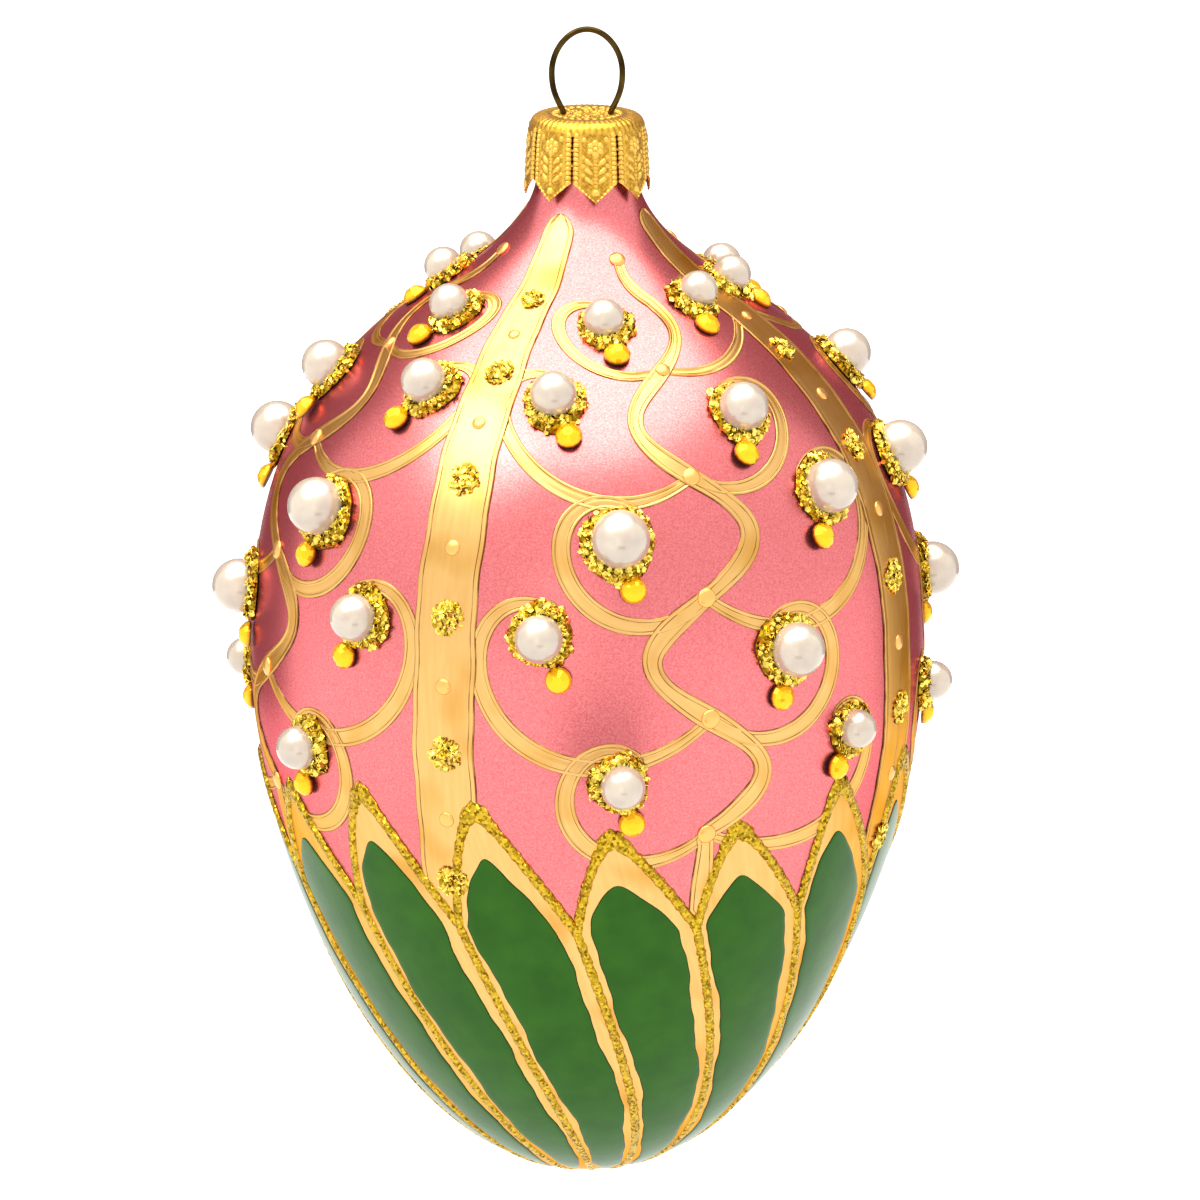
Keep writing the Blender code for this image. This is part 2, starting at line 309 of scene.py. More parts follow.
# Each point of the outline, with the handle before it and the handle after it.
egg_knots = (
    (POLE, POLE, (POLE_HANDLE, POLE[1])),
    ((BELLY_RADIUS, 0.0), (BELLY_RADIUS, -BELLY_HANDLES[0]), (BELLY_RADIUS, BELLY_HANDLES[1])),
    (SHOULDER, SHOULDER + slope * SHOULDER_HANDLES[0], SHOULDER - slope * SHOULDER_HANDLES[1]),
    (NECK, (NECK[0], NECK[1] - NECK_HANDLE), (NECK[0], NECK[1] + RIM_HANDLE)),
    (neck_rim, (NECK[0], NECK_TOP - RIM_HANDLE), neck_rim),
)

# %% Table of the outline


def bezier(points, count):
    """count points along one cubic Bezier arc."""
    t = np.linspace(0.0, 1.0, count)[:, None]
    weights = ((1 - t) ** 3, 3 * (1 - t) ** 2 * t, 3 * (1 - t) * t**2, t**3)
    return sum(weight * np.array(point) for weight, point in zip(weights, points))


def lengths(points):
    """The distance of each point from the first one, along the row."""
    return np.concatenate([[0.0], np.cumsum(np.linalg.norm(np.diff(points, axis=0), axis=1))])


arcs = [(start, after, before, end) for (start, _, after), (end, before, _) in zip(egg_knots, egg_knots[1:])]
outline = np.vstack([bezier(arc, 300)[:-1] for arc in arcs[:-1]] + [[NECK, neck_rim]])
arc_length = lengths(outline)
arc_length -= np.interp(0.0, outline[:, 1], arc_length)
tilt = np.gradient(outline, axis=0)
tilt /= np.linalg.norm(tilt, axis=1)[:, None]
print("outline", len(outline), "points,", round(arc_length[-1] - arc_length[0], 1), "mm long")

# %% Placing functions


def radius_at(along):
    """The egg's radius, in mm, this far along its outline above the belly."""
    return np.interp(along, arc_length, outline[:, 0])


def along_at_height(height):
    return np.interp(height, outline[:, 1], arc_length)


def about_axis(azimuth, reach, height):
    """Points in metres. azimuth in radians from the camera's side, reach and height in mm."""
    return np.stack([reach * np.sin(azimuth) * MM, -reach * np.cos(azimuth) * MM, height * MM + BELLY_Z], -1)


def on_glass(azimuth, along, lift):
    """Points in metres, this far along the outline and this far off the glass, both in mm."""
    height = np.interp(along, arc_length, outline[:, 1])
    out = np.interp(along, arc_length, tilt[:, 1])
    up = -np.interp(along, arc_length, tilt[:, 0])
    off = lift - PAINT_ALLOWANCE
    return about_axis(azimuth, radius_at(along) + off * out, height + off * up)


for part, height in (("belly", 0.0), ("shoulder", SHOULDER[1]), ("neck", NECK[1])):
    print("radius at the", part, round(radius_at(along_at_height(height)), 1), "mm")

# %% [markdown]
# ## Pink lacquer on silvered glass
# The glass is silvered inside and sprayed with a satin lacquer full of fine pearl pigment. It could be a
# pink paint under a clear coat, but that would look like enamel, with sharp white lights on a flat pink. The
# silver makes the pink behave like a coloured metal: bright where it mirrors a softbox, deep where it
# mirrors a dark card. The pigment breaks the mirror up into a soft, grainy glow.

# %% Pink lacquer
pink_lacquer, tree, shader = new_material(
    "pearly_pink_lacquer",
    Metallic=0.95,
    Roughness=0.27,
    Specular_Tint=linear("D8A0A8"),
    Coat_Weight=0.05,
    Coat_Roughness=0.25,
)
place = add_node(tree, "TexCoord", "Object")
# Pearl flakes are about 0.05 mm; they are drawn at 0.22 mm, which is as fine as the picture shows.
grain = add_node(tree, "TexNoise", "Fac", {"Vector": place, "Scale": 4500.0, "Detail": 2.0})
# The spray leaves faint clouds, about 22 mm across.
cloud = add_node(tree, "TexNoise", "Fac", {"Vector": place, "Scale": 45.0, "Detail": 2.0})
grain_tint = add_node(tree, "ValToRGB", "Color", {"Fac": grain}, [(0.30, "D5696B"), (0.70, "E78689")])
cloud_tint = add_node(tree, "ValToRGB", "Color", {"Fac": cloud}, [(0.3, "F4F0F0"), (0.7, "FFFFFF")])
clouded = add_node(tree, "Mix", "Result", {"Factor": 1.0, "A": grain_tint, "B": cloud_tint}, **MULTIPLY)
bump = add_node(tree, "Bump", "Normal", {"Height": grain, "Strength": 0.22, "Distance": 0.00004})
set_inputs(shader, {"Base Color": clouded, "Normal": bump})

# %% [markdown]
# ## The blown glass
# A blown egg is round about its axis. A stretched ball would miss the hollow curve under the neck, so the
# outline is drawn as one Bezier curve and spun through a full turn. The skin is then pulled in by the
# thickness of the paint, because the solid was measured over it, and Solidify gives the wall.

# %% A curve drawn and turned into a mesh


def in_space(point):
    return Vector((point[0] * MM, 0.0, point[1] * MM + BELLY_Z))


def drawn_curve(knots, **settings):
    """The mesh of a curve through (point, handle before, handle after) knots, in mm."""
    bpy.ops.curve.primitive_bezier_curve_add()
    curve = bpy.context.object
    for name, value in settings.items():
        setattr(curve.data, name, value)
    spline = curve.data.splines[0]
    spline.bezier_points.add(len(knots) - len(spline.bezier_points))
    for knot, places in zip(spline.bezier_points, knots):
        knot.handle_left_type = knot.handle_right_type = "FREE"
        knot.co, knot.handle_left, knot.handle_right = [in_space(place) for place in places]
    only(curve)
    bpy.ops.object.convert(target="MESH")
    return curve


# %% Glass egg
GLASS_WALL = 0.75
egg = drawn_curve(egg_knots, resolution_u=26)
edit_mode()
bpy.ops.mesh.spin(steps=192, angle=math.tau, center=(0, 0, 0), axis=(0, 0, 1))
weld(0.000005)
edit_mode()
bpy.ops.transform.shrink_fatten(value=-PAINT_ALLOWANCE * MM)
object_mode()
thicken(egg, GLASS_WALL)
smooth(egg, 40)
sign_off(egg, "glass_egg_lacquered", pink_lacquer, "pink_lacquer", "glass_egg")

# %% [markdown]
# ## Gold paint
# The bands and scrolls are drawn with a thick relief paint full of metal powder, smoother than the lacquer.
# It shines like dull gold. The brush leaves faint streaks along each stroke. A pattern on Object coordinates
# would cross the curves, so the streaks read the stroke's own UV map, in millimetres along and across it.

# %% Gold paint: colour and streaks
GOLD_METALLIC = 0.98
gold_paint, tree, shader = new_material(
    "gold_relief_paint",
    Metallic=GOLD_METALLIC,
    Roughness=0.31,
    Specular_Tint=linear("F0BE78"),
    Coat_Weight=0.05,
    Coat_Roughness=0.2,
)
stroke = add_node(tree, "UVMap", "UV", uv_map="stroke")
# The brush's hairs leave streaks about 7 mm long and 0.6 mm wide.
drawn_out = add_node(tree, "Mapping", "Vector", {"Vector": stroke, "Scale": (0.15, 1.6, 1.0)})
streak = add_node(tree, "TexNoise", "Fac", {"Vector": drawn_out, "Scale": 1.0, "Detail": 3.0})
gold_tint = add_node(tree, "ValToRGB", "Color", {"Fac": streak}, [(0.30, "D8A862"), (0.70, "DEB26D")])
# The paint lies thicker and deeper in colour on some stretches, a centimetre or two long.
thick = add_node(tree, "TexNoise", "Fac", {"Vector": stroke, "Scale": 0.11, "Detail": 1.0})
deep_tint = add_node(tree, "ValToRGB", "Color", {"Fac": thick}, [(0.30, "EADCB2"), (0.47, "FFFFFF")])
shaded = add_node(tree, "Mix", "Result", {"Factor": 1.0, "A": gold_tint, "B": deep_tint}, **MULTIPLY)
bump = add_node(tree, "Bump", "Normal", {"Height": streak, "Strength": 0.05, "Distance": 0.00005})
set_inputs(shader, {"Normal": bump})

# %% Gold paint: painted shade lines beside the border
# Painted shade: a thin dark line follows the stroke's edge and another lies in the groove inside the border.
# They are placed by the distance from the edge in mm, which is in the "rim" map.
edge_shade_stops = [(0.09, "74521F"), (0.18, "FFFFFF")]
groove_shade_stops = [(0.55, "FFFFFF"), (0.60, "6C4A1C"), (0.67, "6C4A1C"), (0.72, "FFFFFF")]
rim = add_node(tree, "UVMap", "UV", uv_map="rim")
from_edge = add_node(tree, "SeparateXYZ", "X", {"Vector": rim})
painted_shade_lines = add_node(tree, "ValToRGB", "Color", {"Fac": from_edge}, edge_shade_stops + groove_shade_stops)
# The painted shade lines come and go along the stroke, every 2 mm or so.
broken = add_node(tree, "TexNoise", "Fac", {"Vector": stroke, "Scale": 0.45, "Detail": 1.0})
inputs = {"Value": broken, "From Min": 0.38, "From Max": 0.62, "To Min": 0.55, "To Max": 1.0}
shade_line_strength = add_node(tree, "MapRange", "Result", inputs)
lined = add_node(tree, "Mix", "Result", {"Factor": shade_line_strength, "A": shaded, "B": painted_shade_lines}, **MULTIPLY)
# Being painted shade, the lines are less metallic, so they stay dark where the metal beside them shines.
bare = add_node(tree, "RGBToBW", "Val", {"Color": painted_shade_lines})
shine = add_node(tree, "Mix", "Result", {"Factor": shade_line_strength, "A": GOLD_METALLIC, "B": bare})
set_inputs(shader, {"Base Color": lined, "Metallic": shine})

# %% Gold paint for the drops
# A drop dries smooth, with no brush marks.
gold_drop_paint, _, _ = new_material(
    "gold_relief_paint_drops", Base_Color=linear("EEB264"), Metallic=0.92, Roughness=0.30
)

# %% [markdown]
# ## How a painted stroke is made
# A curve with a bevel would follow the egg too, but it would be round like a wire, and this paint is flat.
# So a stroke starts as a flat grid, like a strip of paper, and each vertex is moved to its place on the egg.
# Relief paint dries with a raised rim and a fine groove inside it, so the grid's columns are closer together
# there. Solidify gives the paint its thickness, and the strokes of one kind are joined.

# %% Grids laid on the egg


def spread(x):
    """Moves evenly spaced columns towards the two rims."""
    return np.sign(x) * (1.0 - (1.0 - np.abs(x)) ** 1.7)


def new_grid(rows, columns):
    """A flat grid, with the run (0 to 1) and the place across (-1 to 1) of each vertex."""
    bpy.ops.mesh.primitive_grid_add(x_subdivisions=rows, y_subdivisions=columns, size=1.0)
    grid = bpy.context.object
    flat = np.empty(len(grid.data.vertices) * 3)
    grid.data.vertices.foreach_get("co", flat)
    return grid, flat[0::3] + 0.5, flat[1::3] * 2.0


def laid_grid(rows, columns, shape, even=False):
    """A grid on the egg. shape turns (run, across) into azimuth, along, lift, two stroke coordinates and
    the distance from the stroke's edge, all but the azimuth in mm."""
    grid, run, across = new_grid(rows, columns)
    mesh = grid.data
    azimuth, along, lift, along_stroke, across_stroke, rim = shape(run, across if even else spread(across))
    mesh.vertices.foreach_set("co", on_glass(azimuth, along, lift).ravel())
    corner = np.empty(len(mesh.loops), dtype=np.int32)
    mesh.loops.foreach_get("vertex_index", corner)
    mesh.uv_layers[0].name = "stroke"
    mesh.uv_layers.new(name="rim")
    for name, u, v in (("stroke", along_stroke, across_stroke), ("rim", rim, np.zeros_like(rim))):
        uv = np.stack([u, v], -1)[corner]
        mesh.uv_layers[name].data.foreach_set("uv", uv.astype(np.float32).ravel())
    mesh.update()
    return grid


# %% Joining strokes


def face_outwards(obj):
    """Turns the faces of an open sheet away from the middle of the egg."""
    mesh = obj.data
    middle = mesh.polygons[len(mesh.polygons) // 2]
    inside = Vector((0.0, 0.0, BELLY_Z - 0.01))
    if middle.normal.dot(middle.center - inside) < 0:
        mesh.flip_normals()


def join_strokes(strokes, thickness):
    """One closed piece from several open sheets, each with the paint's thickness in mm."""
    only(strokes[0])
    for sheet in strokes:
        face_outwards(sheet)
        sheet.select_set(True)
    if len(strokes) > 1:
        bpy.ops.object.join()
    thicken(strokes[0], thickness)
    smooth(strokes[0], 50)
    return strokes[0]


# %% Relief across a stroke
PAINT_THICKNESS = 0.10
BORDER_WIDTH = 0.62
BORDER_RISE = 0.075
FIELD_RISE = 0.05
GROOVE_DEPTH = 0.05
FLAT_RIM = 2.0


def clamp(x):
    return np.clip(x, 0.0, 1.0)


def border_width(half_width):
    return np.minimum(BORDER_WIDTH, half_width * 0.42)


def rim_relief(across, half_width):
    """Height of the paint across a stroke, in mm: a rounded border, a fine groove and a flat field."""
    inset = (1.0 - np.abs(across)) * half_width
    border = border_width(half_width)
    bead = BORDER_RISE * np.sqrt(clamp(1.0 - ((inset - border / 2) / (border / 2)) ** 2))
    groove = GROOVE_DEPTH * np.exp(-(((inset - border - 0.03) / 0.10) ** 2))
    return FIELD_RISE * np.clip(inset / 0.10, 0.1, 1.0) + bead - groove


# %% [markdown]
# ## Where the leaves begin
# The bands and stems end under the calyx, the ring of pointed leaves at the egg's foot. So its outline is
# worked out first, as a function of the turn round the egg.

# %% Leaf outlines
LEAVES = 16
LEAF_ANGLE = math.tau / LEAVES
LOW_TIP = -11.5
HIGH_TIP = -8.5
VALLEY_ALONG = -24.0
TOOTH_POWER = 1.35
LEAF_LEAN = math.radians(40.0)
LEAN_START = -6.0
LEAN_POWER = 1.25
FOOT_ALONG = arc_length[0] + 3.2


def lean(along):
    """The sideways turn of the leaves at this distance along, none at the valleys between them."""
    whole = LEAN_START - arc_length[0]
    depth = clamp((LEAN_START - along) / whole)
    at_valley = (LEAN_START - VALLEY_ALONG) / whole
    return LEAF_LEAN * (depth**LEAN_POWER - at_valley**LEAN_POWER)


def leaf_tip(leaf):
    """Tips alternate in pairs: lower ones in the middle of a panel, higher ones beside the bands."""
    return np.where(np.isin(leaf % 4, (1, 2)), LOW_TIP, HIGH_TIP)


def calyx_edge(turn):
    """The distance along of the calyx's upper edge, for a turn in radians from the first band."""
    leaf = np.floor(turn / LEAF_ANGLE)
    across = (turn / LEAF_ANGLE - leaf) * 2.0 - 1.0
    return leaf_tip(leaf) + (VALLEY_ALONG - leaf_tip(leaf)) * np.abs(across) ** TOOTH_POWER


print("leaf tips", sorted({float(leaf_tip(leaf)) for leaf in range(LEAVES)}), "mm up from the belly")


# %% [markdown]
# ## Four gold bands
# Plain upright bands part the egg into quarters, as ribs do on many ornaments. Each runs from a round end at
# the neck down behind the leaves, and narrows a little with the egg. The rows are closer together near the
# round end.

# %% Gold bands
BANDS = 4
FIRST_BAND = math.radians(-24.4)
QUARTER = math.tau / BANDS
BAND_HALF_WIDTH = 3.9
BAND_TOP = along_at_height(54.6)
BAND_END_LENGTH = 2.6


def band_half_width(along):
    return BAND_HALF_WIDTH * (radius_at(along) / BELLY_RADIUS) ** 0.42


def band_scale(along):
    """How much narrower a band is here than at the belly."""
    return band_half_width(along) / BAND_HALF_WIDTH


def band_foot(across):
    """How far down a band reaches at this place across it: just under the leaves' edge."""
    places = np.linspace(-1.0, 1.0, 61)
    tries = np.linspace(VALLEY_ALONG, HIGH_TIP + 0.5, 200)
    offset = places[:, None] * BAND_HALF_WIDTH / radius_at(-18.0)
    covered = tries[None, :] <= calyx_edge(offset - lean(tries)[None, :])
    first_bare = np.argmin(covered, axis=1)
    return np.interp(across, places, tries[first_bare]) - 0.4


print("a band is", round(2 * band_half_width(0.0), 1), "mm wide at the belly")


# %% Draw the bands


def band_shape(azimuth):
    def shape(run, across):
        foot = band_foot(across)
        along = BAND_TOP - (BAND_TOP - foot) * (1.0 - run) ** 1.5
        end = clamp((BAND_TOP - along) / BAND_END_LENGTH)
        half = band_half_width(along) * np.sqrt(1.0 - (1.0 - end) ** 2 * 0.98)
        wander = 0.10 * np.sin(along * 0.37 + azimuth * 3.0) + 0.06 * np.sin(along * 0.9)
        sideways = across * half + wander
        lift = 0.07 + rim_relief(across, half)
        inset = (1.0 - np.abs(across)) * half
        return azimuth + sideways / radius_at(along), along, lift, along, sideways, inset

    return shape


bands = [laid_grid(140, 26, band_shape(FIRST_BAND + QUARTER * k)) for k in range(BANDS)]
sign_off(join_strokes(bands, PAINT_THICKNESS), "gold_bands", gold_paint, "gold_paint")

# %% [markdown]
# ## Climbing scrolls
# Between the bands a gold stem climbs in even waves. Where the wave turns, one branch spirals round a pearl
# inside the bend and one passes under a pearl beyond the crest, as in an old scroll border. Neighbouring
# panels mirror each other.

# %% Where the pearls are
VINE_FIRST_BAY = -4.5
VINE_BAY_STEP = 14.0
BAYS = 5
PANEL_HALF_ANGLE = math.pi / 4 - math.radians(5.6)
# For each row of pearls: the diameters from the foot up, how far they are to the crest's side, as a share
# of half the panel, and above the bay's middle, and how far their stones are swung. Then, for the branch
# round each pearl, its turn, how soon it draws in, at the lowest pearl and at the others, and its lift.
PEARL_ROWS = (
    {"sizes": (5.2, 6.4, 6.8, 5.8, 4.8), "reach": -0.38, "above": 0.0, "swing": 14.0}
    | {"turn": -285.0, "closing": (1.6, 1.6), "lift": 0.02},
    {"sizes": (4.6, 5.6, 6.4, 5.4, 4.6), "reach": 0.72, "above": 3.0, "swing": -24.0}
    | {"turn": 300.0, "closing": (4.5, 2.4), "lift": 0.0},
)


def panel_centre(panel):
    return FIRST_BAND + QUARTER * (panel + 0.5)


def crest_side(panel, bay=0):
    """1 where the stem bends to the right, -1 where it bends to the left."""
    return (-1) ** (panel + bay)


def half_panel(along):
    """Half the width of a panel between its bands, in mm."""
    return PANEL_HALF_ANGLE * radius_at(along)


def pearl_centre(panel, bay, row):
    """The pearl's place, as mm right of the panel's middle and mm up the outline."""
    along = VINE_FIRST_BAY + VINE_BAY_STEP * bay + row["above"]
    return crest_side(panel, bay) * row["reach"] * half_panel(along), along


jewels = []
for panel in range(BANDS):
    for bay in range(BAYS):
        for row in PEARL_ROWS:
            sideways, along = pearl_centre(panel, bay, row)
            azimuth = panel_centre(panel) + sideways / radius_at(along)
            swing = crest_side(panel, bay) * math.radians(row["swing"])
            jewels.append((azimuth, along, row["sizes"][bay], swing))
print("jewels", len(jewels))

# %% The stem's wave
STEM_REACH = 0.25
STEM_HALF_WIDTH = 1.30
BRANCH_HALF_WIDTH = 1.02
STEM_FOOT = -22.4
STEM_TOP = 62.0
STEM_LIFT = 0.05
END_LENGTH = 1.2


def stroke_scale(along):
    """Strokes are finer where the egg is narrower."""
    return 0.42 + 0.58 * radius_at(along) / BELLY_RADIUS


def stem_sideways(panel, along):
    """How far the stem is to the right of the panel's middle, in mm."""
    wave = np.cos(math.pi * (along - VINE_FIRST_BAY) / VINE_BAY_STEP)
    start = clamp((along - VINE_FIRST_BAY + VINE_BAY_STEP / 2) / 3.0 + 0.5)
    fade = 1.0 - clamp((along - 55.0) / 6.0) * 0.8
    ease = start * start * (3 - 2 * start)
    return crest_side(panel) * STEM_REACH * half_panel(along) * wave * ease * fade


print("the stem swings", round(abs(float(stem_sideways(0, VINE_FIRST_BAY + VINE_BAY_STEP))), 1), "mm")


# %% A stroke along a path


def follow(sideways, along, mm_sideways):
    """A path's length in mm, and a function for the place and direction this far along it. mm_sideways is
    what one unit sideways measures at each point."""
    between = (mm_sideways[1:] + mm_sideways[:-1]) / 2
    step = np.hypot(np.diff(sideways) * between, np.diff(along))
    run_at = np.concatenate([[0.0], np.cumsum(step)])
    tracks = (sideways, along, np.gradient(sideways, run_at) * mm_sideways, np.gradient(along, run_at))

    def at(here):
        side, up, side_slope, up_slope = [np.interp(here, run_at, track) for track in tracks]
        size = np.hypot(side_slope, up_slope)
        return side, up, side_slope / size, up_slope / size

    return run_at[-1], at


def stroke_grid(panel, sideways, along, half_width, base_lift, columns=12):
    """A stroke along a path given as mm right of the panel's middle and mm up the outline."""
    length, at = follow(sideways, along, np.ones_like(along))
    rows = max(12, int(length / 0.7)) + 4

    def shape(run, across):
        ends = [0.0, END_LENGTH, length - END_LENGTH, length]
        here = np.interp(run * rows, [0, 4, rows - 4, rows], ends)
        m, s, dm, ds = at(here)
        from_end = np.minimum(here, length - here)
        swell = 0.95 + 0.12 * np.sin(here * 0.45)
        if length < 60:
            swell = 0.70 + 0.48 * np.sin(math.pi * here / length) ** 1.4
        half = half_width * swell * stroke_scale(s) * np.sqrt(np.clip(from_end / 0.9, 0.03, 1.0))
        offset = across * half
        m = m + offset * ds
        s = s - offset * dm
        inset = (1.0 - np.abs(across)) * half * BORDER_WIDTH / border_width(half_width)
        lift = base_lift + rim_relief(across, half)
        return panel_centre(panel) + m / radius_at(s), s, lift, here, offset, inset

    return laid_grid(rows, columns, shape)


# %% Draw the stems and branches


def spiral(centre, start, end_radius, turn, closing):
    """A path that leaves start and winds in to end_radius about centre. turn is signed, in radians.
    A larger closing draws it in sooner."""
    to_start = np.array(start) - np.array(centre)
    first_radius = np.hypot(*to_start)
    t = np.linspace(0.0, 1.0, 120)
    reach = end_radius + (first_radius - end_radius) * (1.0 - t) ** closing
    angle = math.atan2(to_start[1], to_start[0]) + turn * t
    return centre[0] + reach * np.cos(angle), centre[1] + reach * np.sin(angle)


strokes = []
for panel in range(BANDS):
    along = np.linspace(STEM_FOOT, STEM_TOP, 400)
    strokes.append(stroke_grid(panel, stem_sideways(panel, along), along, STEM_HALF_WIDTH, STEM_LIFT, 14))
    for bay in range(BAYS):
        fork = VINE_FIRST_BAY + VINE_BAY_STEP * (bay - 0.5)
        joint = (stem_sideways(panel, fork), fork)
        for row in PEARL_ROWS:
            edge = row["sizes"][bay] / 2 + 0.6
            turn = crest_side(panel, bay) * math.radians(row["turn"])
            closing = row["closing"][min(bay, 1)]
            path = spiral(pearl_centre(panel, bay, row), joint, edge, turn, closing)
            strokes.append(stroke_grid(panel, *path, BRANCH_HALF_WIDTH, row["lift"]))
sign_off(join_strokes(strokes, PAINT_THICKNESS), "gold_scrolls", gold_paint, "gold_paint")

# %% [markdown]
# ## The calyx of leaves
# Sixteen pointed leaves close round the egg's foot and lean to one side as they run together at the pole.
# Sixteen separate sheets would show pink between them, so the gold under them is one sheet with a toothed
# upper edge: a grid wrapped right round the egg, over the ends of the bands and scrolls.

# %% Calyx
SHEET_FOOT = arc_length[0] + 0.02
SHEET_LIFT = 0.15
SHEET_THICKNESS = 0.06


def calyx_shape(run, across):
    turn = (across + 1.0) / 2.0 * math.tau
    top = calyx_edge(np.clip(turn, 0.0, math.tau - 1e-6))
    along = top + (SHEET_FOOT - top) * run
    even = np.ones_like(along)
    return FIRST_BAND + turn + lean(along), along, SHEET_LIFT * even, along, turn * 30.0, FLAT_RIM * even


calyx = laid_grid(52, LEAVES * 20, calyx_shape, even=True)
edit_mode()
bpy.ops.mesh.remove_doubles(threshold=0.00002)
object_mode()
sign_off(join_strokes([calyx], SHEET_THICKNESS), "leaf_gold", gold_paint, "gold_paint")

# %% [markdown]
# ## Green enamel
# Each leaf is filled with thick, glossy green enamel, laid inside the gold with a loaded brush, so its edge
# is uneven. It could be a green patch in the gold's material, but it stands over the gold with an edge of
# its own, so it is a sheet too. It is a plain gloss: the colour is in the paint and the shine on top.

# %% Green enamel material
green_enamel, tree, shader = new_material(
    "green_leaf_enamel", Roughness=0.22, IOR=1.45, Specular_IOR_Level=0.16
)
place = add_node(tree, "TexCoord", "Object")
# The brush leaves it thicker and darker in patches about 4 mm across.
wash = add_node(tree, "TexNoise", "Fac", {"Vector": place, "Scale": 260.0, "Detail": 3.0})
green_tint = add_node(tree, "ValToRGB", "Color", {"Fac": wash}, [(0.3, "1F4E07"), (0.7, "28590A")])
# The enamel is darker in a thin line where it stops. "rim" is the distance from the leaf's edge in mm.
rim = add_node(tree, "UVMap", "UV", uv_map="rim")
from_edge = add_node(tree, "SeparateXYZ", "X", {"Vector": rim})
edge_tint = add_node(tree, "ValToRGB", "Color", {"Fac": from_edge}, [(0.06, "8A6A50"), (0.16, "FFFFFF")])
lined = add_node(tree, "Mix", "Result", {"Factor": 1.0, "A": green_tint, "B": edge_tint}, **MULTIPLY)
bump = add_node(tree, "Bump", "Normal", {"Height": wash, "Strength": 0.2, "Distance": 0.0002})
set_inputs(shader, {"Base Color": lined, "Normal": bump})

# %% The enamel's edges
GREEN_FROM_TIP = 6.0
GREEN_FOOT = arc_length[0] + 9.0
ENAMEL_THICKNESS = 0.09


def ragged(along, seed):
    """A slow uneven edge with a slight tremble, about 0.3 mm either way."""
    slow = 0.24 * np.sin(along * 0.31 + seed * 2.1) + 0.12 * np.sin(along * 0.77 + seed * 4.7)
    return slow + 0.05 * np.sin(along * 1.9 + seed * 1.3)


def leaf_reach(leaf, along):
    """Half the leaf's width in radians at this distance along, before its lean."""
    tip = leaf_tip(leaf)
    return LEAF_ANGLE / 2 * clamp((tip - along) / (tip - VALLEY_ALONG)) ** (1 / TOOTH_POWER)


# %% Lay the enamel on


def green_shape(leaf):
    middle = FIRST_BAND + LEAF_ANGLE * (leaf + 0.5)
    top = leaf_tip(leaf) - GREEN_FROM_TIP

    def shape(run, across):
        run = run**1.45
        along = top + (GREEN_FOOT - top) * run
        radius = radius_at(along)
        reach = leaf_reach(leaf, along) * radius
        left_margin = np.interp(along, [GREEN_FOOT, -55.0, -32.0], [0.80, 1.15, 1.25])
        right_margin = np.interp(along, [GREEN_FOOT, -55.0, -32.0, -20.0], [0.80, 1.25, 2.1, 2.3])
        left = left_margin - reach + ragged(along, leaf * 1.7)
        right = reach - right_margin + ragged(along, leaf * 2.9 + 5.0)
        from_tip = clamp(run * 9.0)
        from_foot = clamp((1.0 - run) * 20.0)
        half = (right - left) / 2 * np.sqrt(from_tip * (2.0 - from_tip) * from_foot)
        sideways = (left + right) / 2 + across * half
        inset = (1.0 - np.abs(across)) * half
        lift = 0.17 + 0.08 * clamp(inset / 0.35) ** 0.6
        return middle + sideways / radius + lean(along), along, lift, along, sideways, inset

    return shape


leaves = [laid_grid(76, 14, green_shape(leaf)) for leaf in range(LEAVES)]
sign_off(join_strokes(leaves, ENAMEL_THICKNESS), "green_leaves", green_enamel, "green_enamel")

# %% [markdown]
# ## Glitter
# Two kinds of gold glitter are stuck on with glue: fine grains along the leaves' edges and coarse crushed
# flakes round the pearls. Each grain is a little mirror at its own angle. The coarse flakes are real small
# plates. The fine grains are far too many for that, so there a cell pattern turns each grain's normal.

# %% Glitter materials


def glitter_material(name, cell_mm, dark, bright, tilt_strength, roughness):
    """Metal grains of this size, each with its own tint and tilt."""
    material, tree, shader = new_material(name, Metallic=1.0, Roughness=roughness)
    place = add_node(tree, "TexCoord", "Object")
    cells = add_node(tree, "TexVoronoi", "Color", {"Vector": place, "Scale": 1000.0 / cell_mm})
    tint = add_node(tree, "ValToRGB", "Color", {"Fac": cells}, [(0.15, dark), (0.65, bright)])
    # The cell's random colour, less a middle grey, tips the normal.
    normal = add_node(tree, "NewGeometry", "Normal")
    tipped = cells
    for step, by in (("SUBTRACT", [0.5] * 3), ("MULTIPLY", [tilt_strength] * 3), ("ADD", normal)):
        tipped = add_node(tree, "VectorMath", "Vector", {0: tipped, 1: by}, operation=step)
    unit = add_node(tree, "VectorMath", "Vector", {0: tipped}, operation="NORMALIZE")
    set_inputs(shader, {"Base Color": tint, "Normal": unit})
    return material


# Fine glitter is about 0.2 mm across. It is drawn at 0.30 mm so that single grains show.
fine_glitter = glitter_material("fine_gold_glitter", 0.30, "6E520A", "D4AE2E", 0.85, 0.33)
glue_glitter = glitter_material("glitter_dust_in_glue", 0.34, "302404", "B8921C", 0.9, 0.35)
coarse_glitter = glitter_material("coarse_gold_glitter", 0.45, "A88414", "F8E068", 0.35, 0.20)

# %% Paths along the leaves' edges
LINE_HALF_WIDTH = 0.62
LINE_HEIGHT = 0.42
LINE_THICKNESS = 0.05
OVER_TIP = 1.3


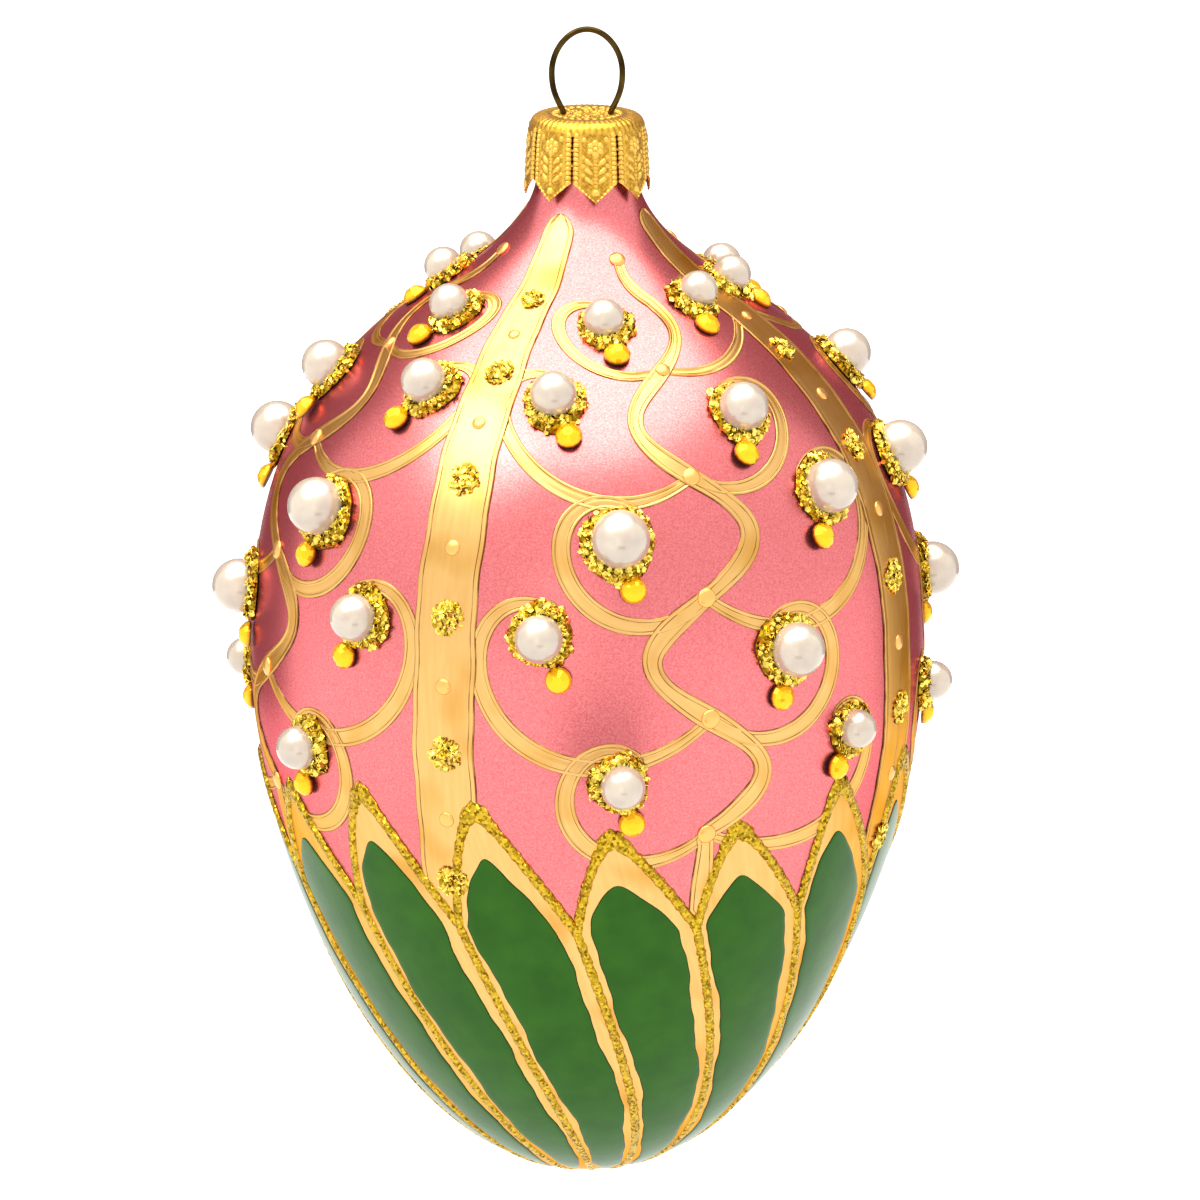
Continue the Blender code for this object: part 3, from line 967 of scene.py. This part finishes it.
def leaf_edge_path(leaf, side, top_only):
    """Points from just over a leaf's tip down one edge of it: (azimuth, along)."""
    tip = leaf_tip(leaf)
    end = VALLEY_ALONG if top_only else FOOT_ALONG
    over_tip = np.linspace(-OVER_TIP, 0.0, 8)[:-1]
    near_tip = np.linspace(0.0, 1.0, 30) ** 2 * 2.0
    drop = np.concatenate([over_tip, near_tip, np.linspace(2.0, tip - end, 160)[1:]])
    along = tip - drop
    azimuth = FIRST_BAND + LEAF_ANGLE * (leaf + 0.5) + side * leaf_reach(leaf, along) + lean(along)
    return azimuth, along


# %% Glitter lines on the leaves


def bead_grid(azimuth, along, seed):
    """A rounded line of glitter along a path, a little lumpy."""
    length, at = follow(azimuth, along, radius_at(along))

    def shape(run, across):
        here = run * length
        a, s, da, ds = at(here)
        narrow = np.interp(s, [FOOT_ALONG, -55.0, -20.0], [0.6, 0.95, 1.0])
        lump = 1.0 + 0.10 * np.sin(here * 3.1 + seed) + 0.07 * np.sin(here * 7.3 + seed * 2.0)
        tip_swell = 1.0 + 0.95 * np.exp(-(((here - OVER_TIP) / 2.2) ** 2))
        point = np.sqrt(np.clip(here / OVER_TIP, 0.03, 1.0))
        offset = across * LINE_HALF_WIDTH * narrow * lump * tip_swell * point
        a = a + offset * ds / radius_at(s)
        s = s - offset * da
        rise = LINE_HEIGHT * narrow * np.sqrt(clamp(1.0 - across**2))
        lift = 0.05 + rise * point * (1.0 + 0.10 * np.sin(here * 5.1 + across * 4.0 + seed))
        ceiling = np.interp(s, [FOOT_ALONG, FOOT_ALONG + 4.0], [0.24, 0.6])
        return a, s, np.minimum(lift, ceiling), here, offset, np.full_like(here, FLAT_RIM)

    return laid_grid(max(10, int(length / 0.48)), 7, shape, even=True)


lines = []
for leaf in range(LEAVES):
    lines.append(bead_grid(*leaf_edge_path(leaf, -1, True), leaf * 1.3))
    lines.append(bead_grid(*leaf_edge_path(leaf, 1, False), leaf * 2.7 + 0.5))
sign_off(join_strokes(lines, LINE_THICKNESS), "leaf_glitter_lines", fine_glitter, "gold_glitter")

# %% [markdown]
# ## Pearls
# The pearls are flat-backed imitation pearls: a white bead under several coats of pearl essence, which gives
# a soft sheen over a clear gloss. A whole ball would reach through the thin glass, so one ball is cut flat
# where it is glued, and copied to each place at its own size.

# %% Pearl material
pearl_coat, tree, shader = new_material(
    "pearl_essence", Metallic=0.35, Roughness=0.27, Coat_Weight=0.8, Coat_Roughness=0.05, Coat_IOR=1.6
)
place = add_node(tree, "TexCoord", "Object")
# The dipped coats are a little uneven, in patches about 2.4 mm across.
lustre = add_node(tree, "TexNoise", "Fac", {"Vector": place, "Scale": 420.0, "Detail": 2.0})
tint = add_node(tree, "ValToRGB", "Color", {"Fac": lustre}, [(0.35, "B4A698"), (0.65, "C0B3A2")])
set_inputs(shader, {"Base Color": tint})

# %% One small part, copied many times


def mesh_arrays(obj):
    """The vertices and faces of a small mesh, for copying many times. The mesh itself goes."""
    points = np.array([vertex.co[:] for vertex in obj.data.vertices])
    faces = [list(face.vertices) for face in obj.data.polygons]
    bpy.data.objects.remove(obj, do_unlink=True)
    return points, faces


def cut_ball(subdivisions, middle, cut):
    """A ball of radius 1 about this height, closed with a flat face at the cut."""
    bpy.ops.mesh.primitive_ico_sphere_add(subdivisions=subdivisions, radius=1.0, location=(0, 0, middle))
    ball = bpy.context.object
    bpy.ops.object.transform_apply(location=True)
    edit_mode()
    bpy.ops.mesh.bisect(plane_co=(0, 0, cut), plane_no=(0, 0, 1), use_fill=True, clear_inner=True)
    object_mode()
    return mesh_arrays(ball)


def many_copies(name, points, faces, places):
    """One object with a copy of the points at each 4 by 4 matrix. Points may also be a stack, with one set
    for each place."""
    count = points.shape[-2]
    stack = np.broadcast_to(points, (len(places), count, 3))
    matrices = [np.array(place) for place in places]
    all_points = [copy @ m[:3, :3].T + m[:3, 3] for copy, m in zip(stack, matrices)]
    all_faces = [[index + k * count for index in face] for k in range(len(places)) for face in faces]
    mesh = bpy.data.meshes.new(name)
    mesh.from_pydata(np.vstack(all_points).tolist(), [], all_faces)
    obj = bpy.data.objects.new(name, mesh)
    scene.collection.objects.link(obj)
    return obj


# %% A place on the egg


def seat(azimuth, along, lift, swing=0.0):
    """The matrix of a place on the egg: X to the right, Y up the egg, Z out of the glass."""
    point = Vector(on_glass(azimuth, along, lift + PAINT_ALLOWANCE))
    higher = Vector(on_glass(azimuth, along + 0.2, lift + PAINT_ALLOWANCE))
    right = Vector((math.cos(azimuth), math.sin(azimuth), 0.0))
    up = (higher - point).normalized()
    turn = Matrix((right, up, right.cross(up))).transposed().to_4x4()
    return Matrix.Translation(point) @ turn @ Matrix.Rotation(swing, 4, "Z")


# %% Pearls
PEARL_RISE = 0.50
PEARL_SEAT = 0.2 - PAINT_ALLOWANCE
PEARL_FIT = 0.99
points, faces = cut_ball(4, PEARL_RISE, 0.0)
pearl_places = []
for azimuth, along, diameter, swing in jewels:
    size = Matrix.Scale(diameter / 2 * MM * PEARL_FIT, 4)
    pearl_places.append(seat(azimuth, along, PEARL_SEAT, swing) @ size)
pearls = many_copies("pearls", points, faces, pearl_places)
smooth(pearls, 50)
sign_off(pearls, "pearls", pearl_coat, "pearl", *[f"pearl_jewel_{n:02d}" for n in range(1, 41)])

# %% [markdown]
# ## Amber stones
# Below each pearl sits a small foil-backed stone, which shines yellow from inside. Clear glass over a foil
# could be modelled as it is, but at this size it only adds noise, so the stone is given the foil's own
# shine. A low cylinder is its girdle. The top face is extruded upwards three times and made smaller each
# time, which gives rings of facets. They stay flat-shaded.

# %% Amber material
amber_glass, tree, shader = new_material("foil_backed_amber", Metallic=0.6, Roughness=0.14, IOR=1.55)
# "rise" is the height in the stone, 0 at its foot to 1 at its table. Towards the foot the colour is
# darkened as painted shade, where the stone meets the glass.
rise = add_node(tree, "Attribute", "Fac", attribute_name="rise")
stops = [(0.10, "5A3000"), (0.24, "DC9400"), (0.50, "FFBE0C")]
set_inputs(shader, {"Base Color": add_node(tree, "ValToRGB", "Color", {"Fac": rise}, stops)})

# %% One stone
STONE_RADIUS = 1.55
STONE_HEIGHT = 1.35
STONE_SEAT = 0.05 - PAINT_ALLOWANCE
GIRDLE = 0.42
# Each ring of facets: how far it rises, and how much smaller it is than the one below.
FACET_RINGS = ((0.36, 0.86), (0.34, 0.72), (STONE_HEIGHT - GIRDLE - 0.70, 0.60))
COLLAR_WIDTH = 1.2


def select_faces(obj, wanted):
    """Edit mode, with those faces selected that wanted says yes to."""
    edit_mode("DESELECT")
    bpy.ops.mesh.select_mode(type="FACE")
    object_mode()
    for face in obj.data.polygons:
        face.select = wanted(face)
    bpy.ops.object.mode_set(mode="EDIT")


def set_attribute(obj, name, values):
    """Stores one number for each vertex, where a material can read it."""
    layer = obj.data.attributes.new(name, "FLOAT", "POINT")
    layer.data.foreach_set("value", values.astype(np.float32))


middle = (0, 0, GIRDLE / 2)
bpy.ops.mesh.primitive_cylinder_add(vertices=14, radius=STONE_RADIUS, depth=GIRDLE, location=middle)
stone = bpy.context.object
bpy.ops.object.transform_apply(location=True)
select_faces(stone, lambda face: face.normal.z > 0.9)
for rise, taper in FACET_RINGS:
    bpy.ops.mesh.extrude_region_move(TRANSFORM_OT_translate={"value": (0, 0, rise)})
    bpy.ops.transform.resize(value=(taper, taper, 1.0), center_override=(0, 0, 0))
object_mode()
points, faces = mesh_arrays(stone)
print("one stone", len(faces), "faces")

# %% All the stones
stone_places = []
for azimuth, along, diameter, swing in jewels:
    below = diameter / 2 + COLLAR_WIDTH + STONE_RADIUS - 0.3
    place = seat(azimuth, along, STONE_SEAT, swing)
    stone_places.append(place @ Matrix.Translation((0, -below * MM, 0)) @ Matrix.Scale(MM, 4))
stones = many_copies("stones", points, faces, stone_places)
set_attribute(stones, "rise", np.tile(points[:, 2] / STONE_HEIGHT, len(jewels)))
sign_off(stones, "amber_stones", amber_glass, "amber")

# %% [markdown]
# ## Collars and dots of coarse glitter
# A heap of glue holds each pearl, dusted with crushed gold flakes. The heap is a torus pushed into a lumpy
# crescent. Each flake is one thin five-sided plate, copied to hundreds of places with its own size and tilt,
# so that some catch the light and others stay dark. The same flakes make the round dots on the bands.

# %% The shape of a heap of glue
SEED = 11
chance = random.Random(SEED)
COLLAR_SPREAD = 1.25
STONE_SIDE = -math.pi / 2


def breadth(angle, first, second):
    """How broad the heap is on this side of the pearl, about 0.2 to 1.1. It is broad towards the stone."""
    towards_stone = np.exp(-(((angle - STONE_SIDE) / 0.5) ** 2))
    return 0.62 + 0.28 * np.cos(angle - first) + 0.14 * np.cos(3 * angle + second) + 0.25 * towards_stone


def heap(diameter, angle, out, first, second):
    """Reach from the pearl's middle and height over the glass, in mm, of the heap's top. out is -1 to 1."""
    thick = breadth(angle, first, second)
    inner = diameter / 2 * 0.80
    outer = diameter / 2 + 0.15 + COLLAR_SPREAD * thick + 0.07 * np.sin(9 * angle + second)
    reach = (inner + outer) / 2 + out * (outer - inner) / 2
    height = (0.50 + 0.55 * thick) * (1.0 - 0.30 * out)
    return reach, height


# %% Glue heaps round the pearls
heap_sides = [(chance.uniform(0, math.tau), chance.uniform(0, math.tau)) for _ in jewels]
bpy.ops.mesh.primitive_torus_add(major_radius=1.0, minor_radius=0.5, major_segments=40, minor_segments=8)
points, faces = mesh_arrays(bpy.context.object)
x, y, z = points.T
angle = np.arctan2(y, x)
out = (np.hypot(x, y) - 1.0) / 0.5
up = np.clip(z / 0.5, -0.15, 1.0)
heap_shapes = []
for (_, _, diameter, _), sides in zip(jewels, heap_sides):
    reach, height = heap(diameter, angle, out, *sides)
    bumps = 0.05 * np.sin(11 * angle + 3 * out + sides[0])
    z = up * height + bumps * (up > 0) - PAINT_ALLOWANCE
    heap_shapes.append(np.stack([reach * np.cos(angle), reach * np.sin(angle), z], -1) * MM)
heap_places = [seat(azimuth, along, 0.0, swing) for azimuth, along, _, swing in jewels]
glue = many_copies("glue", np.array(heap_shapes), faces, heap_places)
smooth(glue, 60)
sign_off(glue, "collar_glue_beds", glue_glitter, "gold_glitter")

# %% One flake, and how it falls
FLAKE_RADIUS = 0.34
FLAKE_THICKNESS = 0.08
COLLAR_FLAKES_PER_MM = 60
DOT_FLAKES_PER_MM = 48

bpy.ops.mesh.primitive_cylinder_add(vertices=5, radius=FLAKE_RADIUS, depth=FLAKE_THICKNESS)
flake_points, flake_faces = mesh_arrays(bpy.context.object)
print("one flake", len(flake_faces), "faces")


def tossed(size):
    """A random turn: mostly flat on the glue, often tipped up."""
    spin = Matrix.Rotation(chance.uniform(0, math.tau), 4, "Z")
    tip = Matrix.Rotation(math.radians(chance.triangular(0, 80, 26)), 4, "X")
    again = Matrix.Rotation(chance.uniform(0, math.tau), 4, "Z")
    return again @ tip @ spin @ Matrix.Scale(size * MM, 4)


def shift(reach, angle, height):
    """A move to this reach and turn about a place on the glass and this height over it, in mm."""
    return Matrix.Translation((reach * math.cos(angle) * MM, reach * math.sin(angle) * MM, height * MM))


# %% Flakes on the collars


def collar_flakes(place, diameter, first, second):
    """Flakes strewn over the heap of glue, in a broad crescent on one side and a thin edge on the other."""
    for _ in range(int(COLLAR_FLAKES_PER_MM * (diameter / 2 + 0.7))):
        angle = chance.uniform(-math.pi, math.pi)
        if chance.random() > 0.25 + breadth(angle, first, second):
            continue
        out = chance.uniform(-0.45, 1.08)
        reach, height = heap(diameter, angle, out, first, second)
        height = height * math.sqrt(max(0.0, 1.0 - out**2)) + chance.uniform(0.02, 0.16)
        tangent = (-math.sin(angle), math.cos(angle), 0)
        lean_out = Matrix.Rotation(math.radians(max(0.0, out) * 45.0), 4, tangent)
        spot = place @ shift(reach, angle, height - PAINT_ALLOWANCE)
        yield spot @ lean_out @ tossed(chance.uniform(0.6, 1.3))


flake_places = []
for place, (_, _, diameter, _), sides in zip(heap_places, jewels, heap_sides):
    flake_places.extend(collar_flakes(place, diameter, *sides))
collars = many_copies("collars", flake_points, flake_faces, flake_places)
sign_off(collars, "pearl_collars", coarse_glitter, "gold_glitter")

# %% Dots on the bands
DOT_ALONGS = (-18.0, -2.0, 14.0, 30.0, 44.0, 55.5)
DOT_RADIUS = 1.95
dot_places = []
for band in range(BANDS):
    for along in DOT_ALONGS:
        size = DOT_RADIUS * band_scale(along)
        azimuth = FIRST_BAND + QUARTER * band + chance.uniform(-0.3, 0.3) / radius_at(along)
        place = seat(azimuth, along, 0.0)
        for _ in range(int(DOT_FLAKES_PER_MM * size)):
            out = math.sqrt(chance.random())
            angle = chance.uniform(0, math.tau)
            height = -0.05 + (1 - out**2) * 0.45 * chance.uniform(0.3, 1.0)
            spot = place @ shift(out * size, angle, height)
            dot_places.append(spot @ tossed(chance.uniform(0.7, 1.2)))
dots = many_copies("dots", flake_points, flake_faces, dot_places)
sign_off(dots, "band_glitter_dots", coarse_glitter, "gold_glitter")

# %% [markdown]
# ## Dots of gold paint
# A drop from the brush sits between every two glitter dots, where each branch leaves the stem and at the
# stem's tip. Surface tension makes a drop a low dome, so a ball is cut and flattened.

# %% How a drop lies
DROP_RADIUS = 0.95
DROP_HEIGHT = 0.34
FORK_DROP_RADIUS = 1.15
FORK_DROP_HEIGHT = 0.40


def drop_place(azimuth, along, radius, height):
    sink = Matrix.Translation((0, 0, (height * 0.25 - PAINT_ALLOWANCE) * MM))
    return seat(azimuth, along, 0.0) @ sink @ Matrix.Diagonal((radius * MM, radius * MM, height * MM, 1.0))


def stem_azimuth(panel, along):
    return panel_centre(panel) + stem_sideways(panel, along) / radius_at(along)


# %% Drops on the bands and stems
points, faces = cut_ball(3, 0.0, -0.3)
drop_places = []
for band in range(BANDS):
    for low, high in zip(DOT_ALONGS, DOT_ALONGS[1:]):
        along = (low + high) / 2
        size = DROP_RADIUS * band_scale(along)
        drop_places.append(drop_place(FIRST_BAND + QUARTER * band, along, size, DROP_HEIGHT))
for panel in range(BANDS):
    drop_places.append(drop_place(stem_azimuth(panel, STEM_TOP), STEM_TOP - 0.3, DROP_RADIUS, DROP_HEIGHT))
    for bay in range(BAYS):
        along = VINE_FIRST_BAY + VINE_BAY_STEP * (bay - 0.5)
        size = FORK_DROP_RADIUS * stroke_scale(along)
        drop_places.append(drop_place(stem_azimuth(panel, along), along, size, FORK_DROP_HEIGHT))
drops = many_copies("drops", points, faces, drop_places)
smooth(drops, 60)
sign_off(drops, "gold_paint_drops", gold_drop_paint, "gold_paint")

# %% [markdown]
# ## The crown cap
# The cap is stamped from thin gilt foil: a rosette, a ribbed shoulder and eight pointed petals, each with a
# beaded edge and a small flower on a stem. A bump map would look flat along the cap's outline, so the stamp
# is real relief: a fine grid is wrapped into a cup and each vertex lifted by the stamp's pattern. The slits
# between the petals are cut last.

# %% Cap material
gilt_foil, tree, shader = new_material("gilt_foil", Metallic=0.85, Roughness=0.36)
# The stamp's hollows are painted darker and browner as shade, and the grit varies the colour at random.
# "stamp" is the height of the relief.
place = add_node(tree, "TexCoord", "Object")
# The foil's grit is near 0.1 mm. It is drawn at 0.4 mm so that it shows.
grit = add_node(tree, "TexNoise", "Fac", {"Vector": place, "Scale": 2600.0, "Detail": 2.0})
stamp = add_node(tree, "Attribute", "Fac", attribute_name="stamp")
height = add_node(tree, "Math", "Value", {0: grit, 1: 0.55, 2: stamp}, operation="MULTIPLY_ADD")
stops = [(0.20, "986C1C"), (0.40, "CC9E36"), (0.95, "E4BA56")]
gilt_and_hollow_shade = add_node(tree, "ValToRGB", "Color", {"Fac": height}, stops)
bump = add_node(tree, "Bump", "Normal", {"Height": grit, "Strength": 0.5, "Distance": 0.00008})
set_inputs(shader, {"Base Color": gilt_and_hollow_shade, "Normal": bump})

# %% The cap's outline
CAP_TOP = 65.2
PETALS = 8
PETAL_TIP_AZIMUTH = math.radians(8.0)
VALLEY_HEIGHT = 58.4
PETAL_DROP = 2.5
PETAL_HALF_WIDTH = 6.95 * math.pi / PETALS
cap_outline = np.array(
    [(0.0, CAP_TOP), (5.3, CAP_TOP), (5.95, CAP_TOP - 0.20), (6.42, CAP_TOP - 0.62), (6.66, CAP_TOP - 1.15)]
    + [(6.85, 62.6), (7.0, 59.6), (7.05, VALLEY_HEIGHT)]
)
cap_run = lengths(cap_outline)
WALL_START = cap_run[4]
WALL_LENGTH = cap_run[-1] - WALL_START
print("cap, middle to hem", round(cap_run[-1], 1), "mm")

# %% Bosses of the stamp


def boss(x, y, cx, cy, radius, height, stretch=1.0, turned=0.0):
    """A round bump of the stamp, in mm, or an oval one at an angle."""
    dx = x - cx
    dy = y - cy
    along_axis = dx * math.cos(turned) + dy * math.sin(turned)
    across_axis = -dx * math.sin(turned) + dy * math.cos(turned)
    d2 = (along_axis / (radius * stretch)) ** 2 + (across_axis / radius) ** 2
    return height * np.sqrt(clamp(1.0 - d2))


def boss_ring(radius, turn, count, ring_radius, boss_radius, height):
    """A ring of bosses about the cap's middle."""
    pitch = math.tau / count
    off_boss = (turn / pitch - np.round(turn / pitch)) * pitch * ring_radius
    return boss(off_boss, radius, 0.0, ring_radius, boss_radius, height)


def petal_bosses():
    """Every boss on the right half of a petal: side, down, radius, height and, if oval, stretch and turn."""
    edge = PETAL_HALF_WIDTH - 0.50
    bosses = [(edge, 0.25 + 0.55 * k, 0.24, 0.20) for k in range(12)]
    bosses += [(edge * (1 - k / 6), 6.05 + PETAL_DROP * 0.92 * k / 6, 0.25, 0.20) for k in range(7)]
    for angle in [math.pi / 3 * k for k in range(4)]:
        bosses.append((0.62 * math.sin(angle), 1.75 - 0.62 * math.cos(angle), 0.33, 0.20))
    bosses.append((0.0, 1.75, 0.28, 0.30))
    for k in range(3):
        bosses.append((0.78, 3.35 + 1.05 * k, 0.22, 0.20, 2.6, -0.75))
        bosses.append((1.42, 2.75 + 1.05 * k, 0.22, 0.15))
    bosses += [(0.0, 2.75 + 0.42 * k, 0.17, 0.15) for k in range(9)]
    bosses.append((0.0, 6.95, 0.40, 0.25))
    bosses.append((1.35, 0.75, 0.26, 0.16))
    return bosses


# %% Relief of the petals and the top


def petal_relief(side, down):
    """The stamp on one petal. side: mm from its middle. down: mm below the shoulder."""
    half = np.abs(side)
    lift = 0.035 * np.sin(side * 14.0) * np.sin(down * 14.0)
    for numbers in petal_bosses():
        lift = np.maximum(lift, boss(half, down, *numbers))
    ridge = 0.06 * np.exp(-(((PETAL_HALF_WIDTH - half - 0.98) / 0.13) ** 2)) * (down < 6.2)
    return np.maximum(lift, ridge)


def top_relief(radius, turn):
    """The stamp on the flat top and the rounded shoulder."""
    ribs = 0.045 * (0.5 + 0.5 * np.cos(turn * 56)) * clamp((radius - 4.3) / 0.5)
    beads = boss_ring(radius, turn, 48, 6.32, 0.25, 0.09)
    ring = boss_ring(radius, turn, 26, 3.8, 0.36, 0.15)
    lobes = 0.5 + 0.5 * np.cos(turn * 8)
    rosette = 0.13 * np.sin(radius * 6.2) * (0.35 + 0.65 * lobes) * clamp(radius / 0.8) - 0.05
    rosette = rosette + 0.04 * np.sin(turn * 24 + radius * 3.0)
    return np.where(radius < 3.45, rosette, np.maximum(np.maximum(ribs, beads), ring))


def off_petal(turn):
    """How far a place is from the middle of its petal, -0.5 to 0.5 of a petal."""
    petal_turn = (turn - PETAL_TIP_AZIMUTH) / (math.tau / PETALS)
    return petal_turn - np.round(petal_turn)


# %% Cap sheet
TOP_SHARE = 0.42
FOIL_THICKNESS = 0.15
RELIEF_SINK = 0.12


def cap_shape(run, across):
    """Wraps the grid into the cup: run goes from the middle of the top to the hem."""
    turn = across * math.pi
    to_tip = 1.0 - 2.0 * np.abs(off_petal(turn))
    wall_part = clamp((run - TOP_SHARE) / (1.0 - TOP_SHARE))
    total = np.minimum(run / TOP_SHARE, 1.0) * WALL_START + wall_part * WALL_LENGTH
    drop = PETAL_DROP * to_tip * wall_part
    radius = np.interp(total, cap_run, cap_outline[:, 0]) + 0.2 * to_tip * wall_part
    height = np.interp(total, cap_run, cap_outline[:, 1]) - drop
    lean_out = clamp((total - 5.2) / (WALL_START - 5.2)) * math.radians(86)
    side = off_petal(turn) * 2.0 * PETAL_HALF_WIDTH
    down = total - WALL_START + drop
    lift = np.where(run >= TOP_SHARE, petal_relief(side, down), top_relief(total, turn))
    off = lift - RELIEF_SINK
    points = about_axis(turn, radius + off * np.sin(lean_out), height + off * np.cos(lean_out))
    return points, clamp(lift / 0.25)


cap, run, across = new_grid(112, 360)
cap_points, stamp_height = cap_shape(run, across)
cap.data.vertices.foreach_set("co", cap_points.ravel())
set_attribute(cap, "stamp", stamp_height)
weld(0.000002)
print("cap sheet", triangles(cap), "triangles")

# %% Slits between the petals, then the thickness of the foil
SLIT_TOP = 63.7
SLIT_HALF_WIDTH = 0.13
BRIDGE_HEIGHTS = (60.3, 62.1)
BRIDGE_HALF_HEIGHT = 0.12


def in_slit(face):
    """True for a face between two petals, except where a bridge joins them."""
    height = (face.center.z - BELLY_Z) / MM
    turn = math.atan2(face.center.x, -face.center.y)
    from_slit = (0.5 - abs(off_petal(turn))) * 2.0 * PETAL_HALF_WIDTH
    bridged = any(abs(height - bridge) < BRIDGE_HALF_HEIGHT for bridge in BRIDGE_HEIGHTS)
    return bool(from_slit < SLIT_HALF_WIDTH and height < SLIT_TOP and not bridged)


select_faces(cap, in_slit)
bpy.ops.mesh.delete(type="FACE")
object_mode()
thicken(cap, FOIL_THICKNESS)
smooth(cap, 60)
sign_off(cap, "crown_cap", gilt_foil, "gold_metal", "metal_cap")

# %% [markdown]
# ## The wire hanger
# One piece of brass wire makes the loop and the two legs that spread inside the neck. A torus would give
# the loop alone, so the wire is one Bezier curve with a round bevel, bent as pliers bend it.

# %% Wire material
# Drawn brass that has gone brown with age is dark, with a hard narrow shine along it.
brass_wire, tree, shader = new_material("old_brass_wire", Metallic=1.0, Roughness=0.17)
place = add_node(tree, "TexCoord", "Object")
# The brown lies in patches about 3 mm long.
patina = add_node(tree, "TexNoise", "Fac", {"Vector": place, "Scale": 320.0, "Detail": 3.0})
wire_tint = add_node(tree, "ValToRGB", "Color", {"Fac": patina}, [(0.35, "2A2009"), (0.7, "5C481E")])
set_inputs(shader, {"Base Color": wire_tint})

# %% Hanger
WIRE_RADIUS = 0.35
# Each point of the left half, and the way from it to its handle.
LEFT_HALF = [((-4.4, 51.0), (0.0, 4.0)), ((-2.7, 65.2), (-0.4, 1.2)), ((-4.1, 70.0), (0.0, 2.7))]
RIGHT_HALF = [((-x, h), (hx, -hh)) for (x, h), (hx, hh) in LEFT_HALF[::-1]]
wire_knots = []
for (x, h), (hx, hh) in [*LEFT_HALF, ((0.0, 75.1), (2.2, 0.0)), *RIGHT_HALF]:
    wire_knots.append(((x, h), (x - hx, h - hh), (x + hx, h + hh)))
round_wire = {"bevel_depth": WIRE_RADIUS * MM, "bevel_resolution": 5, "use_fill_caps": True}
wire = drawn_curve(wire_knots, resolution_u=20, **round_wire)
weld(0.000002)
smooth(wire, 60)
sign_off(wire, "brass_hanger", brass_wire, "brass_wire", "hanger_wire")
